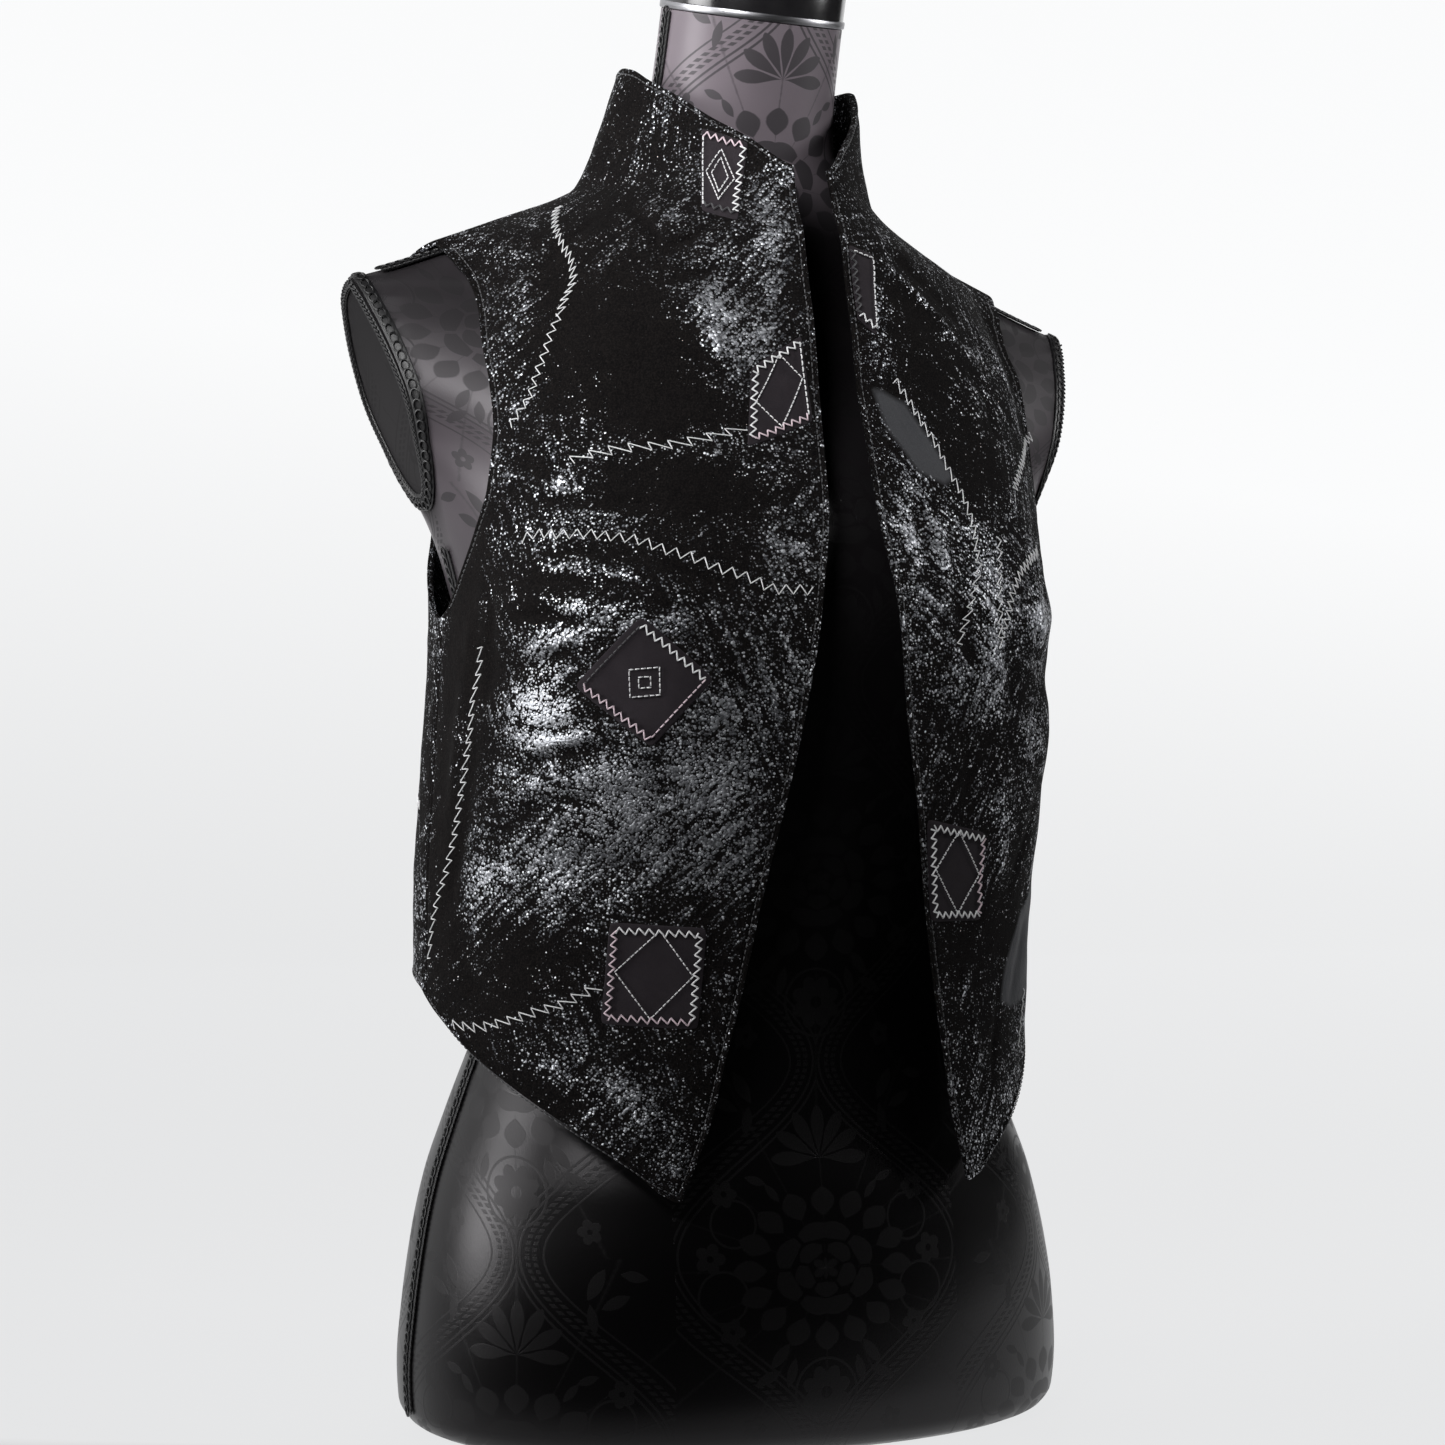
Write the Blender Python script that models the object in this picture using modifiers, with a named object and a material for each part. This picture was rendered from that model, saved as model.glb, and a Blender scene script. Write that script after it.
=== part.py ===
"""A vest of faux leather on a limbless dress form.

Metres, +Z up, the front faces -Y, and the wearer's right is -X. The origin is the middle of the form's
flat base. Level sections are read in polar form round a centre line that leans with the torso: an angle
of 0 looks to the front, 90 degrees to the wearer's left and 180 degrees to the back.
"""
import bpy
import bmesh
import numpy as np
from math import cos, pi, radians, sin, tan
from mathutils import Matrix, Vector
from mathutils.bvhtree import BVHTree

# Driving sizes
SEAM_GAP = 0.0003
CLOTH = 0.0022
NECK_RADIUS = 0.0458
NECK_TOP = 0.700
NECK_TILT = radians(13.5)
CAP_HEIGHT = 0.021
CAP_OVERHANG = 0.0012
SHOULDER_LIFT = 0.0062
BRAID_WIDTH = 0.0090
BRAID_THICK = 0.0022
PATCH_THICK = 0.0011
PATCH_LIFT = 0.0007

# The flat arm plates: half width at the top of the shoulder, and the slant of the plate
PLATE_TOP_HEIGHT = 0.5555
PLATE_TOP_HALF_WIDTH = 0.1990
PLATE_SLANT = radians(18.5)
PLATE_LENGTH = 0.150

# The centre line of the torso: how far it is set back from the middle of the base
CENTRE_COLUMNS = ("height", "set_back")
CENTRE_LINE = (
    (0.000, 0.000),
    (0.060, 0.002),
    (0.120, 0.0085),
    (0.180, 0.015),
    (0.240, 0.018),
    (0.300, 0.020),
    (0.370, 0.0235),
    (0.440, 0.030),
    (0.505, 0.0362),
    (0.530, 0.040),
    (0.556, 0.0455),
    (0.579, 0.048),
    (0.592, 0.0475),
    (0.604, 0.0445),
    (0.625, 0.039),
    (0.668, 0.0285),
    (0.700, 0.021),
)

# Level sections of the form, from the flat base up. front and back run from the centre line. Powers of 2
# make an ellipse, more is squarer, and less tapers to the side as a shoulder does. The back takes a width
# power of 2 at least
FORM_COLUMNS = ("height", "half_width", "front", "back", "width_power", "front_power", "back_power")
FORM_SECTIONS = (
    (0.000, 0.1600, 0.0930, 0.1010, 2.20, 2.20, 2.20),
    (0.003, 0.1662, 0.0990, 0.1070, 2.20, 2.20, 2.20),
    (0.011, 0.1710, 0.1040, 0.1120, 2.20, 2.20, 2.20),
    (0.030, 0.1722, 0.1055, 0.1130, 2.20, 2.20, 2.20),
    (0.060, 0.1700, 0.1055, 0.1110, 2.20, 2.20, 2.20),
    (0.090, 0.1655, 0.1050, 0.1080, 2.20, 2.20, 2.20),
    (0.120, 0.1585, 0.1035, 0.1025, 2.20, 2.20, 2.20),
    (0.150, 0.1480, 0.1000, 0.0950, 2.15, 2.15, 2.15),
    (0.180, 0.1365, 0.0990, 0.0860, 2.10, 2.10, 2.10),
    (0.210, 0.1250, 0.0990, 0.0760, 2.10, 2.10, 2.10),
    (0.240, 0.1180, 0.0990, 0.0680, 2.10, 2.10, 2.10),
    (0.270, 0.1170, 0.1010, 0.0640, 2.10, 2.10, 2.10),
    (0.300, 0.1205, 0.1050, 0.0640, 2.10, 2.10, 2.15),
    (0.335, 0.1290, 0.1110, 0.0670, 2.10, 2.10, 2.20),
    (0.370, 0.1395, 0.1195, 0.0700, 2.10, 2.10, 2.30),
    (0.405, 0.1480, 0.1270, 0.0730, 2.10, 2.05, 2.40),
    (0.435, 0.1570, 0.1290, 0.0760, 2.00, 1.90, 2.60),
    (0.475, 0.1806, 0.1160, 0.0770, 1.80, 1.50, 2.90),
    (0.505, 0.2050, 0.0990, 0.0750, 1.60, 1.34, 2.70),
    (0.530, 0.2130, 0.0850, 0.0690, 1.60, 1.15, 2.40),
    (0.546, 0.2110, 0.0785, 0.0630, 1.40, 1.05, 2.10),
    (0.556, 0.2010, 0.0735, 0.0580, 1.30, 1.00, 1.90),
    (0.564, 0.1790, 0.0695, 0.0550, 1.30, 1.00, 1.60),
    (0.572, 0.1570, 0.0660, 0.0520, 1.30, 1.05, 1.45),
    (0.580, 0.1360, 0.0625, 0.0490, 1.35, 1.10, 1.40),
    (0.588, 0.1150, 0.0595, 0.0470, 1.45, 1.20, 1.45),
    (0.596, 0.0950, 0.0560, 0.0465, 1.60, 1.45, 1.50),
    (0.604, 0.0790, 0.0525, 0.0470, 1.80, 1.70, 1.75),
    (0.613, 0.0660, 0.0500, 0.0470, 2.00, 1.90, 1.90),
    (0.625, 0.0560, 0.0478, 0.0468, 2.00, 2.00, 2.00),
    (0.642, 0.0495, 0.0464, 0.0462, 2.00, 2.00, 2.00),
    (0.668, 0.0465, 0.0458, 0.0458, 2.00, 2.00, 2.00),
    (0.700, 0.0458, 0.0458, 0.0458, 2.00, 2.00, 2.00),
)
FORM_SPOKES = 60

# The bust: two low mounds on the form, by angle from the front and height
BUST_RISE = 0.007
BUST_ANGLE = radians(33)
BUST_ANGLE_SPREAD = radians(20)
BUST_HEIGHT = 0.435
BUST_HEIGHT_SPREAD = 0.045

# The hollow of the form between the chest and each arm plate, by height
HOLLOW_COLUMNS = ("height", "depth")
HOLLOW_ROWS = (
    (0.400, 0.000),
    (0.435, 0.002),
    (0.475, 0.007),
    (0.505, 0.010),
    (0.530, 0.010),
    (0.546, 0.009),
    (0.556, 0.006),
    (0.564, 0.003),
    (0.576, 0.000),
)
HOLLOW_ANGLE = radians(67)
HOLLOW_ANGLE_SPREAD = radians(17)

# How much lower the left shoulder sits than the right, from the neck out
LEFT_DROP = 0.005
LEFT_DROP_REACH = 0.080

# Level sections of the vest's outer face, on the same centre line. The vest hangs a little to the
# wearer's right, so its half widths differ by twice the drift
VEST_DRIFT = 0.003
VEST_COLUMNS = ("height", "half_width", "front", "back", "width_power", "front_power", "back_power")
VEST_SECTIONS = (
    (0.110, 0.1560, 0.1290, 0.1210, 1.90, 1.90, 2.20),
    (0.160, 0.1580, 0.1320, 0.1170, 1.90, 1.90, 2.20),
    (0.215, 0.1600, 0.1334, 0.1160, 1.90, 1.90, 2.20),
    (0.265, 0.1600, 0.1340, 0.1110, 2.00, 2.00, 2.20),
    (0.310, 0.1580, 0.1380, 0.1050, 2.30, 2.30, 2.20),
    (0.355, 0.1555, 0.1412, 0.0985, 2.60, 2.60, 2.20),
    (0.400, 0.1535, 0.1455, 0.0925, 2.60, 2.60, 2.30),
    (0.450, 0.1560, 0.1385, 0.0900, 2.30, 2.30, 2.30),
    (0.480, 0.1590, 0.1315, 0.0880, 2.10, 2.10, 2.20),
    (0.512, 0.1590, 0.1245, 0.0830, 2.00, 1.90, 2.10),
    (0.542, 0.1560, 0.1225, 0.0750, 2.00, 1.50, 1.80),
    (0.564, 0.1530, 0.1195, 0.0690, 1.90, 1.20, 1.40),
    (0.577, 0.1480, 0.1180, 0.0640, 1.70, 1.15, 1.30),
    (0.588, 0.1290, 0.1140, 0.0610, 1.55, 1.20, 1.40),
    (0.596, 0.1100, 0.1090, 0.0600, 1.45, 1.30, 1.60),
    (0.604, 0.0900, 0.1045, 0.0600, 1.40, 1.40, 1.80),
    (0.611, 0.0795, 0.1005, 0.0600, 1.40, 1.40, 2.00),
    (0.626, 0.0735, 0.0915, 0.0590, 1.40, 1.40, 2.00),
    (0.645, 0.0680, 0.0790, 0.0585, 1.45, 1.45, 2.00),
    (0.680, 0.0600, 0.0670, 0.0580, 1.50, 1.50, 2.00),
)

# The open front: half the distance between the two front edges, from the hem points to the collar corners
EDGE_COLUMNS = ("height", "half_gap")
EDGE_OPENING = (
    (0.110, 0.0800),
    (0.127, 0.0755),
    (0.162, 0.0640),
    (0.190, 0.0580),
    (0.222, 0.0510),
    (0.265, 0.0430),
    (0.306, 0.0355),
    (0.348, 0.0275),
    (0.375, 0.0235),
    (0.407, 0.0195),
    (0.451, 0.0128),
    (0.483, 0.0115),
    (0.513, 0.0102),
    (0.550, 0.0100),
    (0.590, 0.0103),
    (0.620, 0.0095),
)

# The hem, by angle from the front, on the wearer's right and left
HEM_COLUMNS = ("degrees", "right", "left")
HEM_EDGE = (
    (0, 0.117, 0.121),
    (35, 0.1235, 0.128),
    (38, 0.126, 0.130),
    (44, 0.135, 0.138),
    (55, 0.151, 0.153),
    (66, 0.167, 0.171),
    (77, 0.185, 0.190),
    (86, 0.202, 0.206),
    (93, 0.213, 0.213),
    (104, 0.2175, 0.2175),
    (180, 0.219, 0.219),
)

# The collar's top edge, by angle from the front
COLLAR_COLUMNS = ("degrees", "height")
COLLAR_EDGE = (
    (0, 0.6120),
    (7, 0.6165),
    (19, 0.6300),
    (35, 0.6410),
    (54, 0.6530),
    (70, 0.6610),
    (84, 0.6680),
    (95, 0.6700),
    (120, 0.6690),
    (180, 0.6670),
)

# The armhole: how far its edge runs in from the side seam, at the front and at the back
ARMHOLE_COLUMNS = ("height", "front_degrees", "back_degrees")
ARMHOLE_EDGE = (
    (0.392, 90, 90),
    (0.397, 86, 95),
    (0.413, 80, 101),
    (0.432, 74.5, 107),
    (0.455, 70.5, 111),
    (0.478, 69.5, 114),
    (0.506, 71.5, 115),
    (0.525, 74, 113),
    (0.542, 76.5, 109),
    (0.562, 81.5, 101),
    (0.572, 86, 95),
    (0.579, 90, 90),
)
NECKLINE = 0.609

# The vest's largest folds: side (-1 on the wearer's right), start in degrees and height, end in degrees and
# height, width, and rise, below zero for a trough
FOLDS = (
    (-1, 75, 0.400, 30, 0.392, 0.020, 0.0022),
    (-1, 80, 0.372, 35, 0.352, 0.018, -0.0020),
    (-1, 40, 0.570, 15, 0.545, 0.016, -0.0018),
    (1, 75, 0.405, 30, 0.395, 0.020, 0.0022),
    (1, 80, 0.378, 35, 0.360, 0.018, -0.0020),
    (1, 40, 0.572, 15, 0.548, 0.016, -0.0018),
)

# The patches, each with its side and its corners as degrees and height: top by the side, top by the
# front edge, foot by the front edge, foot by the side
PATCHES = (
    ("patch_collar_right", -1, ((38.5, 0.6355), (19.4, 0.6275), (20.8, 0.5864), (30.6, 0.5917))),
    ("patch_chest_right", -1, ((19.8, 0.5134), (8.0, 0.5307), (6.9, 0.4890), (21.2, 0.4753))),
    ("patch_waist_right", -1, ((39.5, 0.3946), (27.8, 0.3666), (38.4, 0.3341), (51.4, 0.3616))),
    ("patch_hem_right", -1, ((47.2, 0.2523), (29.1, 0.2510), (30.7, 0.2036), (49.1, 0.2046))),
    ("patch_collar_left", 1, ((14.5, 0.5761), (6.8, 0.5778), (6.4, 0.5411), (10.9, 0.5341))),
    ("patch_waist_left", 1, ((33.2, 0.2954), (16.6, 0.3027), (20.2, 0.2533), (35.4, 0.2528))),
)
PATCH_POINTS = 7

# The braids: heights of the points along the side and shoulder strips, and the legs of the arm bands
SIDE_BRAID_HEIGHTS = (0.011, 0.030, 0.060, 0.090, 0.120, 0.150, 0.180, 0.210, 0.240, 0.270, 0.300, 0.335,
                      0.370, 0.405, 0.425)
SHOULDER_BRAID_HEIGHTS = (0.562, 0.564, 0.572, 0.580, 0.588, 0.596, 0.604, 0.613, 0.625, 0.642, 0.668, 0.6985)
BRAID_LIFT = 0.0008
BODY_LEG = 0.0060
PLATE_LEG = 0.0042
RIM_STEP = 0.0055

# Colours, as linear red, green and blue
BLACK_SUEDE = (0.012, 0.012, 0.015)
PATCH_SUEDE = (0.035, 0.030, 0.036)
CHARCOAL_SATIN = (0.045, 0.042, 0.047)
BLACK_GIMP = (0.012, 0.012, 0.013)
BLACK_GLOSS = (0.010, 0.010, 0.012)


def clear_scene():
    for item in list(bpy.data.objects):
        bpy.data.objects.remove(item, do_unlink=True)


def make_collection(name):
    collection = bpy.data.collections.new(name)
    bpy.context.scene.collection.children.link(collection)
    return collection


def make_material(name, colour, roughness, metallic=0.0):
    material = bpy.data.materials.new(name)
    material.use_nodes = True
    shader = material.node_tree.nodes["Principled BSDF"]
    shader.inputs["Base Color"].default_value = (*colour, 1.0)
    shader.inputs["Roughness"].default_value = roughness
    shader.inputs["Metallic"].default_value = metallic
    return material


def smooth_through(places, values):
    """Returns a smooth function through the values that never swings past its neighbours."""
    places = np.array(places, float)
    values = np.array(values, float)
    runs = np.diff(places)
    grades = np.diff(values) / runs
    slopes = np.concatenate([grades[:1], np.zeros(len(grades) - 1), grades[-1:]])
    for i in range(1, len(grades)):
        if grades[i - 1] * grades[i] > 0:
            slopes[i] = 2 * grades[i - 1] * grades[i] / (grades[i - 1] + grades[i])

    def read(place):
        place = np.clip(place, places[0], places[-1])
        i = np.clip(np.searchsorted(places, place, side="right") - 1, 0, len(runs) - 1)
        t = (place - places[i]) / runs[i]
        ends = values[i] * (1 + 2 * t) * (1 - t) ** 2 + values[i + 1] * t * t * (3 - 2 * t)
        return ends + runs[i] * (slopes[i] * t * (1 - t) ** 2 - slopes[i + 1] * t * t * (1 - t))

    return read


def read_table(names, rows):
    """Returns a smooth function of the first column for each other column, by its name."""
    columns = list(zip(*rows))
    return {name: smooth_through(columns[0], column) for name, column in zip(names[1:], columns[1:])}


SET_BACK = read_table(CENTRE_COLUMNS, CENTRE_LINE)["set_back"]
FORM = read_table(FORM_COLUMNS, FORM_SECTIONS)
VEST = read_table(VEST_COLUMNS, VEST_SECTIONS)
EDGE = read_table(EDGE_COLUMNS, EDGE_OPENING)["half_gap"]
HOLLOW = read_table(HOLLOW_COLUMNS, HOLLOW_ROWS)["depth"]
HEM = read_table(HEM_COLUMNS, HEM_EDGE)
COLLAR_TOP = read_table(COLLAR_COLUMNS, COLLAR_EDGE)["height"]
ARMHOLE = read_table(ARMHOLE_COLUMNS, ARMHOLE_EDGE)


def section_radius(table, angle, height, wider=0.0):
    """Distance from the centre line to a rounded section, along an angle."""
    ahead = np.cos(angle) > 0
    depth = np.where(ahead, table["front"](height), table["back"](height))
    depth_power = np.where(ahead, table["front_power"](height), table["back_power"](height))
    width_power = table["width_power"](height)
    width_power = np.where(ahead, width_power, np.maximum(width_power, 2))
    across = np.abs(np.sin(angle)) / (table["half_width"](height) + wider)
    along = np.abs(np.cos(angle)) / depth
    near = 0.0 * across
    far = near + 0.4
    for _ in range(26):
        middle = (near + far) / 2
        outside = (middle * across) ** width_power + (middle * along) ** depth_power > 1
        near = np.where(outside, near, middle)
        far = np.where(outside, middle, far)
    return (near + far) / 2


def form_radius(angle, height):
    turn = (np.abs(angle) - BUST_ANGLE) / BUST_ANGLE_SPREAD
    rise = (height - BUST_HEIGHT) / BUST_HEIGHT_SPREAD
    inset = (np.abs(angle) - HOLLOW_ANGLE) / HOLLOW_ANGLE_SPREAD
    bust = BUST_RISE * np.exp(-turn ** 2 - rise ** 2)
    return section_radius(FORM, angle, height) + bust - HOLLOW(height) * np.exp(-inset ** 2)


def larger(first, second, blend):
    """The larger of two values, rounded over where they are near each other."""
    return 0.5 * (first + second + np.sqrt((first - second) ** 2 + blend ** 2))


def fold_relief(side, angle, height):
    """Height of the largest folds over the plain surface."""
    reach = 0.15
    relief = 0.0 * angle
    for fold_side, start_degrees, start_height, end_degrees, end_height, width, rise in FOLDS:
        if fold_side != side:
            continue
        start = np.array([radians(start_degrees) * reach, start_height])
        run = np.array([radians(end_degrees) * reach, end_height]) - start
        across = angle * reach - start[0]
        up = height - start[1]
        share = np.clip((across * run[0] + up * run[1]) / (run @ run), 0, 1)
        off = np.hypot(across - share * run[0], up - share * run[1]) / width
        relief = relief + rise * (1 - (2 * share - 1) ** 4) * np.exp(-(2 * off) ** 2)
    return relief


def vest_radius(side, angle, height):
    """The vest's outer face: its own cut, held off the form by the wall and the braid below it."""
    own = section_radius(VEST, angle, height, -side * VEST_DRIFT) + fold_relief(side, angle, height)
    held = np.maximum(form_radius(angle, height) + SHOULDER_LIFT,
                      form_radius(angle, height - SHOULDER_LIFT / cos(radians(22))))
    return larger(own, held, 0.003)


def ease(value, start, end):
    """Rises smoothly from 0 to 1 between two values."""
    share = np.clip((value - start) / (end - start), 0, 1)
    return share * share * (3 - 2 * share)


def left_drop(x, height):
    return LEFT_DROP * ease(x, 0, LEFT_DROP_REACH) * ease(height, 0.40, 0.52) * ease(-height, -0.650, -0.605)


def place(radius, side, angle, height):
    """A point of the model from its polar place. side is -1 on the wearer's right, 1 on the left."""
    x = side * radius * np.sin(angle)
    y = SET_BACK(height) - radius * np.cos(angle)
    return Vector((float(x), float(y), float(height - left_drop(x, height))))


def edge_angle(side, height):
    """Angle of the front edge at a height: where the outer face is half the opening from the middle."""
    half_gap = EDGE(height)
    angle = radians(10) + 0.0 * height
    for _ in range(12):
        angle = np.arcsin(half_gap / vest_radius(side, angle, height))
    return angle


def grid_mesh(name, rows, flip=False):
    """An open mesh from rows of points. A row may be longer than the one below it."""
    mesh = bmesh.new()
    verts = [[mesh.verts.new(point) for point in row] for row in rows]
    for low, high in zip(verts[:-1], verts[1:]):
        for i in range(min(len(low), len(high)) - 1):
            corners = (low[i], low[i + 1], high[i + 1], high[i])
            mesh.faces.new(corners[::-1] if flip else corners)
    bmesh.ops.triangulate(mesh, faces=mesh.faces, quad_method="SHORT_EDGE")
    data = bpy.data.meshes.new(name)
    mesh.to_mesh(data)
    mesh.free()
    return data


def add_object(name, data, collection, material, smooth=radians(40)):
    item = bpy.data.objects.new(name, data)
    collection.objects.link(item)
    data.materials.append(material)
    data.shade_smooth()
    data.set_sharp_from_angle(angle=smooth)
    return item


def thicken(item, depth, offset=-1):
    """Makes a closed wall from an open sheet, on its inner side, or on its outer side with an offset of 1."""
    wall = item.modifiers.new("Wall", "SOLIDIFY")
    wall.thickness = depth
    wall.offset = offset
    wall.use_even_offset = True


# The dress form

def neck_lean(height):
    """How much of the neck's tilt a section has: none at the shoulders, all at the top."""
    return float(np.clip((height - 0.612) / (NECK_TOP - 0.612), 0, 1))


def form_point(angle, height):
    """A point of the form's surface. The angle is below zero on the wearer's right."""
    point = place(form_radius(angle, height), 1, angle, height)
    point.z += neck_lean(height) * (point.y - float(SET_BACK(height))) * tan(NECK_TILT)
    return point


def surface_normal(point_at, angle, height):
    """The outward normal of a surface given as a function of angle and height."""
    turn = 0.004
    rise = 0.0008
    around = point_at(angle + turn, height) - point_at(angle - turn, height)
    up = point_at(angle, height + rise) - point_at(angle, height - rise)
    return around.cross(up).normalized()


def plate_cutter(side, name, cutters):
    """A block whose inner face is the plane of an arm plate."""
    depth = 0.06
    mesh = bmesh.new()
    bmesh.ops.create_cube(mesh, size=1.0)
    bmesh.ops.scale(mesh, verts=mesh.verts, vec=(depth, 0.30, PLATE_LENGTH))
    bmesh.ops.translate(mesh, verts=mesh.verts, vec=(depth / 2, 0, 0.02 - PLATE_LENGTH / 2))
    data = bpy.data.meshes.new(name)
    mesh.to_mesh(data)
    mesh.free()
    block = bpy.data.objects.new(name, data)
    cutters.objects.link(block)
    block.hide_render = True
    block.display_type = "WIRE"
    top = Matrix.Translation((side * PLATE_TOP_HALF_WIDTH, 0, PLATE_TOP_HEIGHT))
    turn = Matrix.Rotation(0 if side > 0 else pi, 4, "Z")
    block.matrix_world = top @ turn @ Matrix.Rotation(PLATE_SLANT, 4, "Y")
    return block


def build_form(collection, cutters, material):
    """The padded body: level rings, a leaning neck, a flat base and two flat arm plates."""
    angles = np.linspace(0, 2 * pi, FORM_SPOKES, endpoint=False)
    mesh = bmesh.new()
    rings = []
    for row in FORM_SECTIONS:
        height = row[0]
        ring = []
        for angle in angles:
            turn = angle if angle <= pi else angle - 2 * pi
            ring.append(mesh.verts.new(form_point(turn, height)))
        rings.append(ring)
    for low, high in zip(rings[:-1], rings[1:]):
        for i in range(FORM_SPOKES):
            j = (i + 1) % FORM_SPOKES
            mesh.faces.new((low[i], low[j], high[j], high[i]))
    mesh.faces.new(rings[0][::-1])
    mesh.faces.new(rings[-1])
    sides = [face for face in mesh.faces if len(face.verts) == 4]
    bmesh.ops.triangulate(mesh, faces=sides, quad_method="SHORT_EDGE")
    data = bpy.data.meshes.new("dress_form")
    mesh.to_mesh(data)
    mesh.free()
    form = add_object("dress_form", data, collection, material)
    for side, name in ((-1, "cut_arm_right"), (1, "cut_arm_left")):
        cut = form.modifiers.new(name, "BOOLEAN")
        cut.operation = "DIFFERENCE"
        cut.solver = "EXACT"
        cut.object = plate_cutter(side, name, cutters)
    return form


def build_cap(collection, material):
    """The turned cap on the neck: a drum with a rounded rim, tilted with the neck."""
    radius = NECK_RADIUS + CAP_OVERHANG
    rim = 0.003
    profile = [(0.0, CAP_HEIGHT), (radius - 2 * rim, CAP_HEIGHT), (radius - 0.6 * rim, CAP_HEIGHT - 0.3 * rim),
               (radius, CAP_HEIGHT - rim), (radius, 0.0), (0.0, 0.0)]
    mesh = bmesh.new()
    verts = [mesh.verts.new((x, 0, z)) for x, z in profile]
    for first, second in zip(verts[:-1], verts[1:]):
        mesh.edges.new((first, second))
    data = bpy.data.meshes.new("neck_cap")
    mesh.to_mesh(data)
    mesh.free()
    cap = add_object("neck_cap", data, collection, material)
    turned = cap.modifiers.new("Turned", "SCREW")
    turned.steps = 32
    turned.render_steps = 32
    turned.use_merge_vertices = True
    turned.merge_threshold = 0.0001
    lean = Matrix.Rotation(NECK_TILT, 4, "X")
    foot = Vector((0, float(SET_BACK(NECK_TOP)), NECK_TOP))
    cap.matrix_world = Matrix.Translation(foot) @ lean @ Matrix.Translation((0, 0, SEAM_GAP))
    return cap


# The braids: woven trim that covers the form's seams and the rims of its arm plates

def face_tree(item):
    """The outer face of a form or a panel, to lay trim on."""
    return BVHTree.FromObject(item, bpy.context.evaluated_depsgraph_get())


def laid_point(tree, point_at, angle, height, lift, side=1):
    """A point moved out from the face that lies under a place of a smooth surface."""
    outward = surface_normal(point_at, angle, height) * side
    hit = tree.ray_cast(point_at(angle, height) + outward * 0.02, -outward)[0]
    return hit + outward * lift


def braid_strip(name, tree, side, heights, collection, material):
    """A strip down the side seam of the form, bent over it across its width."""
    rows = []
    for height in heights:
        reach = float(form_radius(pi / 2, height))
        angles = [side * pi / 2 + share * BRAID_WIDTH / reach for share in (-0.5, 0, 0.5)]
        rows.append([laid_point(tree, form_point, angle, height, SEAM_GAP) for angle in angles])
    strip = add_object(name, grid_mesh(name, rows), collection, material)
    thicken(strip, BRAID_THICK, offset=1)
    return strip


def plate_rim(form, side):
    """The rim of an arm plate as a closed loop of evenly spaced points, read from the cut form."""
    data = form.evaluated_get(bpy.context.evaluated_depsgraph_get()).to_mesh()
    mesh = bmesh.new()
    mesh.from_mesh(data)
    outward = plate_normal(side)
    plane_point = Vector((side * PLATE_TOP_HALF_WIDTH, 0, PLATE_TOP_HEIGHT))
    flat = {face for face in mesh.faces
            if face.normal.dot(outward) > 0.999 and abs((face.verts[0].co - plane_point).dot(outward)) < 0.0001}
    rim = [edge for edge in mesh.edges if sum(face in flat for face in edge.link_faces) == 1]
    neighbours = {}
    for edge in rim:
        for first in edge.verts:
            neighbours.setdefault(first, []).append(edge.other_vert(first))
    start = max(neighbours, key=lambda vert: vert.co.z)
    loop = [start, neighbours[start][0]]
    while True:
        onward = [vert for vert in neighbours[loop[-1]] if vert is not loop[-2]]
        if onward[0] is start:
            break
        loop.append(onward[0])
    points = [vert.co.copy() for vert in loop]
    mesh.free()
    lowest = min(points, key=lambda point: point.z)
    stations = []
    for run in (points[:points.index(lowest) + 1], points[points.index(lowest):] + points[:1]):
        lengths = np.cumsum([0] + [(after - before).length for before, after in zip(run[:-1], run[1:])])
        steps = np.linspace(0, lengths[-1], int(lengths[-1] / RIM_STEP) + 1)
        columns = [np.interp(steps, lengths, [point[k] for point in run]) for k in range(3)]
        stations += [Vector(place_of) for place_of in zip(*columns)][:-1]
    return stations


def plate_normal(side):
    return Vector((side * cos(PLATE_SLANT), 0, -sin(PLATE_SLANT)))


def form_place_of(point):
    """The angle and height of a point of the torso."""
    height = point.z
    for _ in range(4):
        height = point.z + float(left_drop(point.x, height))
    return np.arctan2(point.x, float(SET_BACK(height)) - point.y), height


def nearest_place(uncut, point):
    """The nearest point of the body before its arm plates are cut, and the direction out of it there."""
    spot, normal = uncut.find_nearest(point)[:2]
    return spot, (normal + surface_normal(form_point, *form_place_of(spot))).normalized()


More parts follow.
